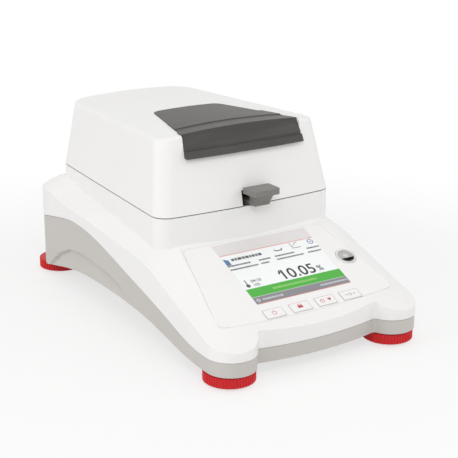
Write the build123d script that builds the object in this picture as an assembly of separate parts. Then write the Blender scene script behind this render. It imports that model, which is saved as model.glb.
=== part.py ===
from build123d import *
import math
import os

# Halogen moisture analyzer, millimetres. The display faces -Y, +Z is up and the origin lies
# on the bench under the middle of the instrument.

# Housing, seen from above
FRONT_HALF_W = 101.5
REAR_HALF_W = 95.5
REAR_WALL_Y = 162.5
REAR_CORNER_R = 27.0
FRONT_WALL_Y = -168.5
FRONT_BOW = 12.5
BOSS_X = 80.0
BOSS_Y = -156.0
BOSS_R = 21.5
BOSS_CREASE_R = 3.0
WALL = 2.5

# Heights of the housing, seen from the side
DECK_FRONT_Y = -157.5
DECK_FRONT_Z = 42.0
DECK_RISE = 0.455
DECK_END_Y = -72.0
SHOULDER_Y = (5.0, 55.0, 109.0, 143.0)
SHOULDER_Z = (89.5, 92.5, 95.5, 97.5)
SHOULDER_END = (168.0, 84.0)
SHOULDER_END_SLOPE = -0.9
ROLL_START_X = 66.0
ROLL_SPAN = 34.0
ROLL_DROP_FRONT = 1.5
ROLL_DROP_REAR = 14.0
ROLL_STEPS = 3
SPLIT_CURVE = ((-152.0, 24.0), (-97.0, 34.8), (-19.0, 54.6), (52.0, 69.6), (84.0, 70.2), (124.0, 63.8))
SPLIT_REAR = (170.0, 44.0)
SPLIT_GAP = 0.5
SPLIT_STEP = 0.4
UNDERSIDE_Z = 12.0
UNDERSIDE_CURVE = ((-150.0, 12.0), (-72.0, 22.3), (22.0, 27.6), (79.0, 24.3), (140.0, 12.0))
FLOOR_T = 3.0
REACH_X = 130.0
REACH_Y = 220.0

# Tower under the lid, and the lid
SEAM_Z = 107.8
SEAM_GAP = 0.8
TOWER_FRONT_HALF_W = 89.2
TOWER_REAR_HALF_W = 71.8
TOWER_FRONT_Y = -62.9
TOWER_REAR_Y = 150.7
TOWER_BOW = 4.5
LID_TOP_Z = 170.4
LID_TOP_FRONT_HALF_W = 79.7
LID_TOP_REAR_HALF_W = 61.5
LID_TOP_FRONT_Y = -50.1
LID_TOP_REAR_Y = 145.0
LID_TOP_BOW = 3.5
LID_FRONT_CORNER_R = 14.0
LID_REAR_CORNER_R = 18.0
LID_CROWN_R = 700.0
LID_CROWN_Z = 175.2
LID_CROWN_FALL = 0.025
LID_REACH = 240.0
LID_WALL = 2.5
LID_EDGE_R = 3.0

# Viewing window in the lid
WINDOW_REAR_Y = 40.0
WINDOW_REAR_HALF_W = 34.0
WINDOW_FRONT_HALF_W = 59.0
WINDOW_SILL_Z = 154.0
WINDOW_CORNER_R = 9.0
WINDOW_PROUD = 1.2
WINDOW_T = 3.0
WINDOW_FIT = 0.15
WINDOW_LIP_H = 6.0
WINDOW_LIP_PROUD = 1.6
WINDOW_LIP_LEAD = 7.5

# Control panel in its recess, measured along the sloping floor of the recess
PANEL_DROP = 0.4
PANEL_RISE = 0.435
PANEL_REAR_HALF_W = 70.0
PANEL_FRONT_HALF_W = 87.5
PANEL_REAR_S = 97.5
PANEL_FRONT_S = 6.5
PANEL_FRONT_BOW = 5.0
PANEL_CORNER_R = 7.0
PANEL_T = 1.5
PANEL_FIT = 0.2
RECESS_FLARE = 10.0
RECESS_FLARE_H = 5.0
SCREEN_X = 5.0
SCREEN_S = 58.3
SCREEN_W = 95.0
SCREEN_H = 74.0
SCREEN_T = 1.3
MODULE_EDGE = 2.0
MODULE_T = 8.0
KEYS_X = 4.3
KEYS_S = 8.6
KEY_W = 19.2
KEY_H = 10.4
KEY_PITCH = 25.5
KEY_TRAVEL = 0.6
KEY_GAP = 0.3
KEY_PROUD = 0.4
KEY_STEM_R = 2.0
KEY_NAMES = ("power_key", "print_key", "start_stop_key", "zero_key")
SWITCH_BOARD_T = 1.6
SWITCH_H = 1.5
LEVEL_X = 68.5
LEVEL_S = 51.5
LEVEL_R = 9.2
LEVEL_GLASS_R = 7.3
LEVEL_DEPTH = 9.0
LEVEL_PROUD = 0.7

# Weighing and heating parts
CHAMBER_Y = 8.0
TRAY_R = 60.0
TRAY_T = 1.2
TRAY_FLOOR_Z = 91.0
TRAY_LIP = 4.0
DECKPLATE_T = 2.5
DECKPLATE_DROP = 3.0
SHIELD_R = 55.2
SHIELD_T = 1.2
SHIELD_TOP_Z = 103.5
PAN_R = 45.0
PAN_RIM = 2.2
PAN_DEPTH = 7.0
PAN_T = 0.7
PAN_FLOOR_Z = 98.4
SEAT_GAP = 0.3
SUPPORT_R = 36.0
SUPPORT_T = 2.0
SUPPORT_ARM_W = 9.0
SUPPORT_SHAFT_R = 4.0
HANDLER_X = 4.5
HANDLER_RING_W = 4.6
HANDLER_RING_T = 2.0
HANDLER_ARM_W = 15.0
HANDLER_ARM_T = 3.0
HANDLER_ARM_RISE = 1.5
GRIP_W = 26.0
GRIP_D = 18.0
GRIP_T = 5.0
GRIP_TOP_Z = 124.3
GRIP_WEB_W = 16.0
GRIP_WALL_GAP = 1.2
NOTCH_HALF_W = 13.5
NOTCH_TOP_Z = 121.5
GLASS_R = 57.0
GLASS_T = 3.0
GLASS_Z = 120.0
RETAINER_T = 1.6
RETAINER_IN_R = 53.0
LINER_T = 2.5
LINER_HOLE_R = 55.0
REFLECTOR_TOP_R = 22.0
REFLECTOR_H = 24.0
REFLECTOR_T = 1.2
REFLECTOR_BULGE = 7.0
HOLDER_R = 3.0
LAMP_RING_R = 40.0
LAMP_TUBE_R = 4.5
LAMP_Z = 136.0
SENSOR_R = 2.0

# Load cell and boards
CELL_L = 96.0
CELL_W = 22.0
CELL_H = 20.0
CELL_Z = 52.0
CELL_SLOT_R = 6.5
CELL_SLOT_SPREAD = 1.6
BRACKET_L = 34.0
BRACKET_PLATE_T = 2.0
BOARD_T = 1.6
BOARD_Z = 38.0
BOARD_POST_X = 46.0
BOARD_POST_Y = (-84.0, 36.0)
BOARD_MARGIN = 6.0
POWER_POST_X = 40.0
POWER_POST_Y = (106.0, 130.0)
PROCESSOR = (24.0, 24.0, 3.0, -12.0, -20.0)
PIN_HEADER = (8.0, 30.0, 7.0, 36.0, -24.0)
CAPACITOR_R = 3.5
CAPACITOR_H = 8.0
CAPACITOR_X = (-34.0, -23.0, -12.0)
CAPACITOR_Y = -52.0
TRANSFORMER = (28.0, 24.0, 18.0, -28.0)
COIL_R = 8.0
COIL_H = 12.0
HEAT_SINK = (24.0, 24.0, 2.0, 28.0)
FIN_T = 1.6
FIN_H = 16.0
FIN_X = (18.0, 23.0, 28.0, 33.0, 38.0)
POST_R = 4.0
SCREW_R = 1.7
SCREW_HEAD_R = 3.2
SCREW_HEAD_H = 2.4
SCREW_SEAT_Z = 24.0
SCREW_TOP_Z = 46.0
SCREW_FRONT = (62.0, -132.0)
SCREW_REAR = (69.5, 118.0)
SCREW_JOIN_Z = 40.0

# Rear connectors: place across, opening width and height
CONNECTOR_Z = 32.0
FLANGE_EDGE = 3.0
FLANGE_T = 1.5
INLET = (45.0, 28.0, 20.0)
INLET_D = 24.0
INLET_PIN_W = 2.0
INLET_PIN_PITCH = 7.0
USB = (-10.0, 13.0, 12.0)
USB_D = 16.0
SERIAL = (-45.0, 24.0, 10.0)
SERIAL_D = 12.0
SERIAL_INSERT_W = 16.8
SERIAL_INSERT_H = 4.0
SOCKET_WALL = 1.5

# Hinge at the rear of the tower
HINGE_Y = 158.5
HINGE_Z = 104.0
HINGE_R = 5.0
HINGE_PIN_R = 2.0
HINGE_PIN_FIT = 0.06
HINGE_X = 38.0
KNUCKLE_W = 14.0
LUG_W = 7.0
LUG_GAP = 0.4
KNUCKLE_ARM_H = 8.0

# Seal under the rim of the lid
SEAL_INSET = 0.5
SEAL_W = 1.8
SEAL_GAP = 0.3

# Levelling feet
FOOT_FRONT_X = 80.0
FOOT_FRONT_Y = -154.5
FOOT_REAR_X = 72.0
FOOT_REAR_Y = 156.3
WHEEL_R = 21.2
WHEEL_BOTTOM_Z = 1.8
WHEEL_T = 9.2
WHEEL_EDGE = 0.8
STUD_R = 4.0
STUD_TOP_Z = 36.0
STUD_FIT = 0.08
PAD_R = 11.0
PAD_T = 1.5
PAD_PIN_R = 2.0
PAD_PIN_H = 5.0
FOOT_POST_R = 9.0
FOOT_POST_TOP_Z = 38.3

PANEL_FRAME = Plane(
    origin=(0, DECK_FRONT_Y, DECK_FRONT_Z - PANEL_DROP),
    x_dir=(1, 0, 0),
    z_dir=(0, -PANEL_RISE, 1),
)


def plan_outline(inset=0.0):
    """Outline from above: tapered sides, round rear corners, corner bosses and a bowed front."""
    front_x = FRONT_HALF_W - inset
    rear_x = REAR_HALF_W - inset
    rear_y = REAR_WALL_Y - inset
    wall_y = FRONT_WALL_Y + inset
    bow_y = wall_y + FRONT_BOW
    loop = [
        ThreePointArc((-BOSS_X, bow_y), (0, wall_y), (BOSS_X, bow_y)),
        Line((BOSS_X, bow_y), (front_x, BOSS_Y)),
        Line((front_x, BOSS_Y), (rear_x, rear_y)),
        Line((rear_x, rear_y), (-rear_x, rear_y)),
        Line((-rear_x, rear_y), (-front_x, BOSS_Y)),
        Line((-front_x, BOSS_Y), (-BOSS_X, bow_y)),
    ]
    outline = make_face(loop)
    outline = fillet(outline.vertices().sort_by(Axis.Y)[-2:], REAR_CORNER_R - inset)
    for side in (-1, 1):
        outline += Pos(side * BOSS_X, BOSS_Y) * Circle(BOSS_R - inset)
    creases = [v for v in outline.vertices() if v.Y < BOSS_Y and abs(v.X) < BOSS_X]
    return fillet(creases, BOSS_CREASE_R + inset)


def roll_off(x):
    """Share of the side drop reached at x: none over the deck, one at the side walls."""
    return (max(0.0, abs(x) - ROLL_START_X) / ROLL_SPAN) ** 2


def deck_z(y):
    """Height of the sloping deck at y, over the middle of the housing."""
    return DECK_FRONT_Z + DECK_RISE * (y - DECK_FRONT_Y)


def top_face(x, lower):
    """Side view of the housing at one x: the sloping deck, then the shoulder beside the tower."""
    share = roll_off(x)
    nose_y = FRONT_WALL_Y - BOSS_R
    front_drop = share * ROLL_DROP_FRONT + lower
    rear_drop = share * ROLL_DROP_REAR + lower
    nose = (nose_y, deck_z(nose_y) - front_drop)
    knee = (DECK_END_Y, deck_z(DECK_END_Y) - rear_drop)
    shoulder = [(y, z - rear_drop) for y, z in zip(SHOULDER_Y, SHOULDER_Z)]
    tail = (SHOULDER_END[0], SHOULDER_END[1] - rear_drop)
    slope = (knee[0] - nose[0], knee[1] - nose[1])
    loop = [
        Line(nose, knee),
        Spline(knee, *shoulder, tail, tangents=(slope, (1, SHOULDER_END_SLOPE))),
        Line(tail, (tail[0], 0)),
        Line((tail[0], 0), (nose_y, 0)),
        Line((nose_y, 0), nose),
    ]
    return Plane(origin=(x, 0, 0), x_dir=(0, 1, 0), z_dir=(1, 0, 0)) * make_face(loop)


def crowned_block(lower=0.0):
    """Everything below the top of the housing: level across the middle, rolling off at the sides."""
    block = extrude(top_face(-ROLL_START_X, lower), 2 * ROLL_START_X)
    step = (FRONT_HALF_W + WALL - ROLL_START_X) / ROLL_STEPS
    sections = [top_face(ROLL_START_X + i * step, lower) for i in range(ROLL_STEPS + 1)]
    wing = loft(sections)
    return block + wing + mirror(wing, Plane.YZ)


def side_prism(points, tail_z, end_z, drop=0.0):
    """A block across the whole width, between a curve in side view and the level end_z."""
    front = (-REACH_Y, points[0][1] + drop)
    rear = (REACH_Y, tail_z + drop)
    curve = [(y, z + drop) for y, z in points]
    loop = [
        Line(front, curve[0]),
        Spline(*curve, tangents=((1, 0), (curve[-1][0] - curve[-2][0], curve[-1][1] - curve[-2][1]))),
        Line(curve[-1], rear),
        Line(rear, (rear[0], end_z)),
        Line((rear[0], end_z), (front[0], end_z)),
        Line((front[0], end_z), front),
    ]
    face = Plane.YZ * make_face(loop)
    return extrude(face, REACH_X, both=True)


def tower_outline(inset=0.0, z=SEAM_Z):
    """Outline of the tower and lid at height z; it narrows to the rear and bows at the front."""
    share = max(0.0, (z - SEAM_Z) / (LID_TOP_Z - SEAM_Z))

    def at(low, high):
        return low + (high - low) * share

    front_x = at(TOWER_FRONT_HALF_W, LID_TOP_FRONT_HALF_W) - inset
    rear_x = at(TOWER_REAR_HALF_W, LID_TOP_REAR_HALF_W) - inset
    front_y = at(TOWER_FRONT_Y, LID_TOP_FRONT_Y) + inset
    rear_y = at(TOWER_REAR_Y, LID_TOP_REAR_Y) - inset
    bow = at(TOWER_BOW, LID_TOP_BOW)
    loop = [
        ThreePointArc((-front_x, front_y), (0, front_y - bow), (front_x, front_y)),
        Line((front_x, front_y), (rear_x, rear_y)),
        Line((rear_x, rear_y), (-rear_x, rear_y)),
        Line((-rear_x, rear_y), (-front_x, front_y)),
    ]
    outline = make_face(loop)
    outline = fillet(outline.vertices().sort_by(Axis.Y)[:2], LID_FRONT_CORNER_R - inset)
    outline = fillet(outline.vertices().sort_by(Axis.Y)[-2:], LID_REAR_CORNER_R - inset)
    return Pos(0, 0, z) * outline


def tower_block(inset=0.0, top=SEAM_Z):
    """The tower as a solid body from the bench to its rim."""
    return extrude(Pos(0, 0, -SEAM_Z) * tower_outline(inset), top)


def crown_prism(inset=0.0):
    """The space under the arched top of the lid."""
    top = LID_CROWN_Z - inset
    half = FRONT_HALF_W
    sag = LID_CROWN_R - math.sqrt(LID_CROWN_R**2 - half**2)
    low = SEAM_Z - WALL
    loop = [
        ThreePointArc((-half, top - sag), (0, top), (half, top - sag)),
        Line((half, top - sag), (half, low)),
        Line((half, low), (-half, low)),
        Line((-half, low), (-half, top - sag)),
    ]
    start = TOWER_FRONT_Y - FRONT_BOW
    lift = LID_CROWN_FALL * (TOWER_FRONT_Y - start)
    face = Plane(origin=(0, start, lift), x_dir=(1, 0, 0), z_dir=(0, -1, 0)) * make_face(loop)
    return extrude(face, -LID_REACH, dir=(0, -1, LID_CROWN_FALL))


def lid_block(inset=0.0):
    """The lid as a solid body, walls leaning in and top arched."""
    ceiling = LID_CROWN_Z + LID_EDGE_R
    low = SEAM_Z + SEAM_GAP
    body = loft([tower_outline(inset, low), tower_outline(inset, ceiling)], ruled=True)
    return body & crown_prism(inset)


def foot_places():
    """Name and centre of each levelling foot."""
    return {
        "front_left": (-FOOT_FRONT_X, FOOT_FRONT_Y),
        "front_right": (FOOT_FRONT_X, FOOT_FRONT_Y),
        "rear_left": (-FOOT_REAR_X, FOOT_REAR_Y),
        "rear_right": (FOOT_REAR_X, FOOT_REAR_Y),
    }


def screw_places():
    """Centres of the four screws that join the two housing halves."""
    return [(side * x, y) for x, y in (SCREW_FRONT, SCREW_REAR) for side in (-1, 1)]


def rod(radius, low, high, x=0.0, y=0.0):
    """An upright cylinder between two heights."""
    column = Cylinder(radius, high - low, align=(Align.CENTER, Align.CENTER, Align.MIN))
    return Pos(x, y, low) * column


def brick(width, depth, height, x=0.0, y=0.0, z=0.0):
    """A box standing on z and centred on x and y."""
    block = Box(width, depth, height, align=(Align.CENTER, Align.CENTER, Align.MIN))
    return Pos(x, y, z) * block


def ring(outer, inner, low, high):
    """A flat ring about the chamber axis."""
    return Pos(0, CHAMBER_Y) * (rod(outer, low, high) - rod(inner, low, high))


def on_panel(x, s, height=0.0):
    """A place on the control panel: x across, s up the slope, height off the panel."""
    return PANEL_FRAME * Pos(x, s, height)


def slab(width, length, low, high, corner=1.0):
    """A rounded rectangle on the panel, between two heights off its surface."""
    return extrude(Pos(0, 0, low) * RectangleRounded(width, length, corner), high - low)


def panel_outline(grow=0.0):
    """The panel, wider at the front, with a bowed front edge."""
    loop = [
        ThreePointArc(
            (-PANEL_FRONT_HALF_W - grow, PANEL_FRONT_S - grow),
            (0, PANEL_FRONT_S - PANEL_FRONT_BOW - grow),
            (PANEL_FRONT_HALF_W + grow, PANEL_FRONT_S - grow),
        ),
        Line(
            (PANEL_FRONT_HALF_W + grow, PANEL_FRONT_S - grow),
            (PANEL_REAR_HALF_W + grow, PANEL_REAR_S + grow),
        ),
        Line(
            (PANEL_REAR_HALF_W + grow, PANEL_REAR_S + grow),
            (-PANEL_REAR_HALF_W - grow, PANEL_REAR_S + grow),
        ),
        Line(
            (-PANEL_REAR_HALF_W - grow, PANEL_REAR_S + grow),
            (-PANEL_FRONT_HALF_W - grow, PANEL_FRONT_S - grow),
        ),
    ]
    outline = make_face(loop)
    return fillet(outline.vertices(), PANEL_CORNER_R + grow)


def panel_recess():
    """The seat of the panel and the flared walls above it."""
    seat = extrude(Pos(0, 0, -PANEL_T) * panel_outline(), PANEL_T)
    flare = loft(
        [panel_outline(), Pos(0, 0, RECESS_FLARE_H) * panel_outline(RECESS_FLARE)], ruled=True
    )
    return PANEL_FRAME * (seat + flare)


def key_places():
    """Place of each key on the panel, from the left."""
    first = KEYS_X - KEY_PITCH * (len(KEY_NAMES) - 1) / 2
    return {name: first + i * KEY_PITCH for i, name in enumerate(KEY_NAMES)}


def module_size():
    """Width and length of the display module, wider than the screen by its edge."""
    return SCREEN_W + 2 * MODULE_EDGE, SCREEN_H + 2 * MODULE_EDGE


def deck_openings():
    """Holes through the deck under the panel: display module, keys and level."""
    width, length = module_size()
    depth = MODULE_T + 3 * PANEL_T
    cuts = on_panel(SCREEN_X, SCREEN_S) * slab(
        width + 2 * PANEL_FIT, length + 2 * PANEL_FIT, -depth, 0
    )
    for x in key_places().values():
        cuts += on_panel(x, KEYS_S) * slab(KEY_W, KEY_H, -depth, 0)
    cuts += on_panel(LEVEL_X, LEVEL_S) * rod(LEVEL_R + PANEL_FIT, -depth, depth)
    return cuts


def lower_housing():
    """Warm grey tray: arched underside, side scoops, foot posts and board posts."""
    outline = plan_outline(SPLIT_STEP)
    outer = extrude(outline, SHOULDER_Z[0]) & side_prism(SPLIT_CURVE, SPLIT_REAR[1], 0.0)
    under = side_prism(UNDERSIDE_CURVE, UNDERSIDE_Z, 0.0)
    floor = side_prism(UNDERSIDE_CURVE, UNDERSIDE_Z, 0.0, FLOOR_T)
    room = extrude(plan_outline(SPLIT_STEP + WALL), SHOULDER_Z[0] + WALL)
    posts = [rod(FOOT_POST_R, UNDERSIDE_Z, FOOT_POST_TOP_Z, x, y) for x, y in foot_places().values()]
    posts += [rod(POST_R, UNDERSIDE_Z, SCREW_JOIN_Z, x, y) for x, y in screw_places()]
    posts += [rod(POST_R, UNDERSIDE_Z, BOARD_Z, x, y) for x, y in board_posts()]
    inner = extrude(outline, SHOULDER_Z[0]) & crowned_block(WALL + SPLIT_GAP)
    body = outer - under
    body -= room - floor
    for post in posts:
        body += (post & inner) - under
    for x, y in foot_places().values():
        body -= rod(STUD_R + STUD_FIT, 0, STUD_TOP_Z + PAD_T, x, y)
    for x, y in screw_places():
        body -= rod(SCREW_R + STUD_FIT, 0, SCREW_JOIN_Z, x, y)
        body -= rod(SCREW_HEAD_R + PANEL_FIT, 0, SCREW_SEAT_Z, x, y)
    for cut in connector_holes():
        body -= cut
    return body


def upper_housing():
    """White shell: sloping deck with the panel recess, shoulders and the tower."""
    split = side_prism(SPLIT_CURVE, SPLIT_REAR[1], 0.0, SPLIT_GAP)
    body = (extrude(plan_outline(), SEAM_Z) & crowned_block()) - split
    body += tower_block() - extrude(plan_outline(), DECK_FRONT_Z)
    hollow = extrude(plan_outline(WALL), SEAM_Z) & crowned_block(WALL)
    hollow += tower_block(WALL, SEAM_Z + WALL)
    shell = body - hollow
    boss = extrude(panel_outline(WALL), -PANEL_T - WALL)
    shell += (PANEL_FRAME * boss) & body
    for x, y in screw_places():
        shell += rod(POST_R, SCREW_JOIN_Z, SEAM_Z - DECKPLATE_DROP - DECKPLATE_T, x, y) & body
    shell -= panel_recess() - tower_block(0.0, SEAM_Z)
    shell -= deck_openings()
    for x, y in screw_places():
        shell -= rod(SCREW_R, 0, SCREW_TOP_Z, x, y)
    return shell


def control_panel():
    """Overlay plate on the floor of the recess, open at the screen, keys and level."""
    plate = extrude(Pos(0, 0, -PANEL_T) * panel_outline(-PANEL_FIT), PANEL_T)
    plate = PANEL_FRAME * plate
    depth = 2 * PANEL_T
    plate -= on_panel(SCREEN_X, SCREEN_S) * slab(SCREEN_W, SCREEN_H, -depth, depth)
    for x in key_places().values():
        plate -= on_panel(x, KEYS_S) * slab(KEY_W, KEY_H, -depth, depth)
    plate -= on_panel(LEVEL_X, LEVEL_S) * rod(LEVEL_R + PANEL_FIT, -depth, depth)
    return plate - tower_block(0.0)


def display_glass():
    """Clear window over the display, flush with the control panel."""
    fit = 2 * PANEL_FIT
    return on_panel(SCREEN_X, SCREEN_S) * slab(SCREEN_W - fit, SCREEN_H - fit, -SCREEN_T, 0)


def display_module():
    """Panel display behind the glass, with its driver board and ribbon socket."""
    width, length = module_size()
    body = slab(width, length, -PANEL_T - MODULE_T, -PANEL_T)
    body += Pos(0, -length / 4, -PANEL_T - MODULE_T - WALL) * Box(width / 3, POST_R, 2 * WALL)
    return on_panel(SCREEN_X, SCREEN_S) * body


def key(x):
    """One key: a flush cap and the stem that presses its switch."""
    cap = slab(KEY_W - 2 * KEY_GAP, KEY_H - 2 * KEY_GAP, -PANEL_T, KEY_PROUD)
    stem = rod(KEY_STEM_R, switch_top() + KEY_TRAVEL + KEY_GAP, -PANEL_T)
    return on_panel(x, KEYS_S) * (cap + stem)


def switch_top():
    """Height of the switch tops off the panel surface."""
    return -PANEL_T - WALL - PANEL_FIT


def key_switch_board():
    """Board under the keys with one dome switch for each."""
    places = key_places()
    board_top = switch_top() - SWITCH_H
    width = KEY_PITCH * len(places)
    board = Pos(KEYS_X, KEYS_S) * slab(width, KEY_H + WALL, board_top - SWITCH_BOARD_T, board_top)
    for x in places.values():
        board += Pos(x, KEYS_S) * rod(KEY_STEM_R + 1, board_top, switch_top())
    ends = [KEYS_X + side * (width / 2 - KEY_STEM_R) for side in (-1, 1)]
    for x in ends:
        board += Pos(x, KEYS_S) * rod(KEY_STEM_R / 2, board_top, -PANEL_T - WALL)
    return PANEL_FRAME * board


def level_housing():
    """Cup of the bubble level with a thin rim over the panel."""
    cup = rod(LEVEL_R, -LEVEL_DEPTH, LEVEL_PROUD)
    cup -= rod(LEVEL_GLASS_R + PANEL_FIT, -LEVEL_DEPTH + WALL, LEVEL_PROUD)
    return on_panel(LEVEL_X, LEVEL_S) * cup


def level_glass():
    """Round vial with a domed top."""
    vial = rod(LEVEL_GLASS_R, -LEVEL_DEPTH + WALL, 0)
    dome_r = 4 * LEVEL_GLASS_R
    dome = Pos(0, 0, LEVEL_PROUD / 2 - dome_r) * Sphere(dome_r)
    return on_panel(LEVEL_X, LEVEL_S) * (vial & dome)


def chamber_deck():
    """Grey plate that closes the tower round the heating chamber."""
    top = SEAM_Z - DECKPLATE_DROP
    plate = Pos(0, 0, top - DECKPLATE_T - SEAM_Z) * tower_outline(WALL)
    plate = extrude(plate, DECKPLATE_T)
    return plate - rod(TRAY_R + SEAT_GAP, 0, SEAM_Z, 0, CHAMBER_Y)


def chamber_tray():
    """Pressed metal bowl of the heating chamber, its lip on the chamber deck."""
    lip_z = SEAM_Z - DECKPLATE_DROP
    profile = make_face(
        Polyline(
            (SUPPORT_SHAFT_R + WALL, TRAY_FLOOR_Z),
            (TRAY_R - TRAY_T, TRAY_FLOOR_Z),
            (TRAY_R, TRAY_FLOOR_Z + TRAY_T),
            (TRAY_R, lip_z),
            (TRAY_R + TRAY_LIP, lip_z),
            (TRAY_R + TRAY_LIP, lip_z + TRAY_T),
            (TRAY_R - TRAY_T, lip_z + TRAY_T),
            (TRAY_R - TRAY_T, TRAY_FLOOR_Z + TRAY_T),
            (SUPPORT_SHAFT_R + WALL, TRAY_FLOOR_Z + TRAY_T),
            close=True,
        )
    )
    return Pos(0, CHAMBER_Y) * revolve(Plane.XZ * profile, Axis.Z)


def draft_shield():
    """Ring round the pan with a turned-in foot that stands on the tray."""
    low = TRAY_FLOOR_Z + TRAY_T
    body = ring(SHIELD_R + SHIELD_T, SHIELD_R, low, SHIELD_TOP_Z)
    return body + ring(SHIELD_R + SHIELD_T, SHIELD_R - TRAY_LIP, low, low + SHIELD_T)


def pan_support():
    """Cross with a rim that carries the pan, on the shaft of the load cell."""
    top = PAN_FLOOR_Z - SEAT_GAP
    low = top - SUPPORT_T
    cross = brick(2 * SUPPORT_R, SUPPORT_ARM_W, SUPPORT_T, z=low)
    cross += brick(SUPPORT_ARM_W, 2 * SUPPORT_R, SUPPORT_T, z=low)
    cross += rod(SUPPORT_R, low, top) - rod(SUPPORT_R - SUPPORT_ARM_W / 2, low, top)
    shaft = rod(SUPPORT_SHAFT_R, CELL_Z + CELL_H, low)
    return Pos(0, CHAMBER_Y) * (cross + shaft)


def sample_pan():
    """Thin aluminium dish with a flat rolled rim."""
    top = PAN_FLOOR_Z + PAN_DEPTH
    inner = PAN_R - PAN_T
    profile = make_face(
        Polyline(
            (0, PAN_FLOOR_Z),
            (inner, PAN_FLOOR_Z),
            (PAN_R, PAN_FLOOR_Z + PAN_T),
            (PAN_R, top - PAN_T),
            (PAN_R + PAN_RIM, top - PAN_T),
            (PAN_R + PAN_RIM, top),
            (inner, top),
            (inner, PAN_FLOOR_Z + PAN_T),
            (0, PAN_FLOOR_Z + PAN_T),
            close=True,
        )
    )
    return Pos(0, CHAMBER_Y) * revolve(Plane.XZ * profile, Axis.Z)


def handler_heights():
    """Underside of the handler's ring and of its arm."""
    ring_z = PAN_FLOOR_Z + PAN_DEPTH - PAN_T - SEAT_GAP - HANDLER_RING_T
    arm_z = SEAM_Z + HANDLER_ARM_RISE
    return ring_z, arm_z


def pan_handler():
    """Ring under the rim of the pan, an arm that leaves under the lid, and the grip."""
    ring_z, arm_z = handler_heights()
    inner = PAN_R + SEAT_GAP
    outer = inner + HANDLER_RING_W
    arm_top = arm_z + HANDLER_ARM_T
    ring_y = CHAMBER_Y - outer
    wall_y = TOWER_FRONT_Y - TOWER_BOW
    arm_end = wall_y - GRIP_D / 2
    body = ring(outer, inner, ring_z, ring_z + HANDLER_RING_T)
    tab = brick(HANDLER_ARM_W, 2 * HANDLER_ARM_T, HANDLER_RING_T, HANDLER_X, ring_y, ring_z)
    body += tab - rod(inner, 0, SEAM_Z, 0, CHAMBER_Y)
    riser_y = ring_y - HANDLER_ARM_T / 2
    body += brick(HANDLER_ARM_W, HANDLER_ARM_T, arm_top - ring_z, HANDLER_X, riser_y, ring_z)
    body += brick(HANDLER_ARM_W, ring_y - arm_end, HANDLER_ARM_T, HANDLER_X, (ring_y + arm_end) / 2, arm_z)
    rest_z = SEAM_Z - DECKPLATE_DROP + SEAT_GAP
    rest_y = TOWER_FRONT_Y + WALL / 2
    body += brick(HANDLER_ARM_W, WALL, arm_top - rest_z, HANDLER_X, rest_y, rest_z)
    return body + grip(arm_z, wall_y + GRIP_WALL_GAP)


def grip(arm_z, rear_y):
    """Flat finger plate on a wedge-shaped web."""
    plate = brick(GRIP_W, GRIP_D, GRIP_T, 0, rear_y - GRIP_D / 2, GRIP_TOP_Z - GRIP_T)
    plate = fillet(plate.edges().filter_by(Axis.Z).sort_by(Axis.Y)[:2], WALL)
    web_rear = rear_y - 2 * GRIP_WALL_GAP
    wedge = GRIP_T + HANDLER_ARM_T
    side = make_face(
        Polyline(
            (web_rear, arm_z),
            (web_rear, GRIP_TOP_Z - GRIP_T),
            (rear_y - GRIP_D + WALL, GRIP_TOP_Z - GRIP_T),
            (rear_y - wedge, arm_z),
            close=True,
        )
    )
    web = extrude(Plane.YZ * side, GRIP_WEB_W / 2, both=True)
    return Pos(HANDLER_X, 0, 0) * (plate + web)


def lid_shell():
    """Lid cover: leaning walls, arched top, window opening and the notch for the handler."""
    body = lid_block()
    top_edges = body.faces().sort_by(Axis.Z)[-1].edges()
    body = fillet(top_edges, LID_EDGE_R)
    body -= lid_block(LID_WALL)
    return body - window_zone() - notch()


def window_zone(fit=0.0):
    """The upright space of the viewing window, narrower to the rear."""
    front_y = TOWER_FRONT_Y - FRONT_BOW
    outline = make_face(
        Polyline(
            (-WINDOW_FRONT_HALF_W + fit, front_y),
            (WINDOW_FRONT_HALF_W - fit, front_y),
            (WINDOW_FRONT_HALF_W - fit, LID_TOP_FRONT_Y),
            (WINDOW_REAR_HALF_W - fit, WINDOW_REAR_Y - fit),
            (-WINDOW_REAR_HALF_W + fit, WINDOW_REAR_Y - fit),
            (-WINDOW_FRONT_HALF_W + fit, LID_TOP_FRONT_Y),
            close=True,
        )
    )
    outline = fillet(outline.vertices().sort_by(Axis.Y)[-2:], WINDOW_CORNER_R)
    low = WINDOW_SILL_Z + fit
    return extrude(Pos(0, 0, low) * outline, LID_CROWN_Z + FRONT_BOW - low)


def viewing_window():
    """Dark window that wraps the lid's front edge, with a thicker lip along its sill."""
    zone = window_zone(WINDOW_FIT)
    pane = (lid_block(-WINDOW_PROUD) - lid_block(WINDOW_T)) & zone
    lip = lid_block(-WINDOW_PROUD - WINDOW_LIP_PROUD) - lid_block(WINDOW_T)
    lip_y = LID_TOP_FRONT_Y - WINDOW_LIP_LEAD
    front = brick(2 * FRONT_HALF_W, 2 * FRONT_BOW, WINDOW_LIP_H, 0, lip_y)
    return pane + (lip & zone & Pos(0, 0, WINDOW_SILL_Z) * front)


def lid_liner():
    """Inner cover of the lid with a round opening under the heater."""
    low = GLASS_Z + GLASS_T
    plate = lid_block(LID_WALL) & brick(2 * REACH_X, 2 * REACH_Y, LINER_T, z=low)
    return plate - rod(LINER_HOLE_R, 0, LID_TOP_Z, 0, CHAMBER_Y)


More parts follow.
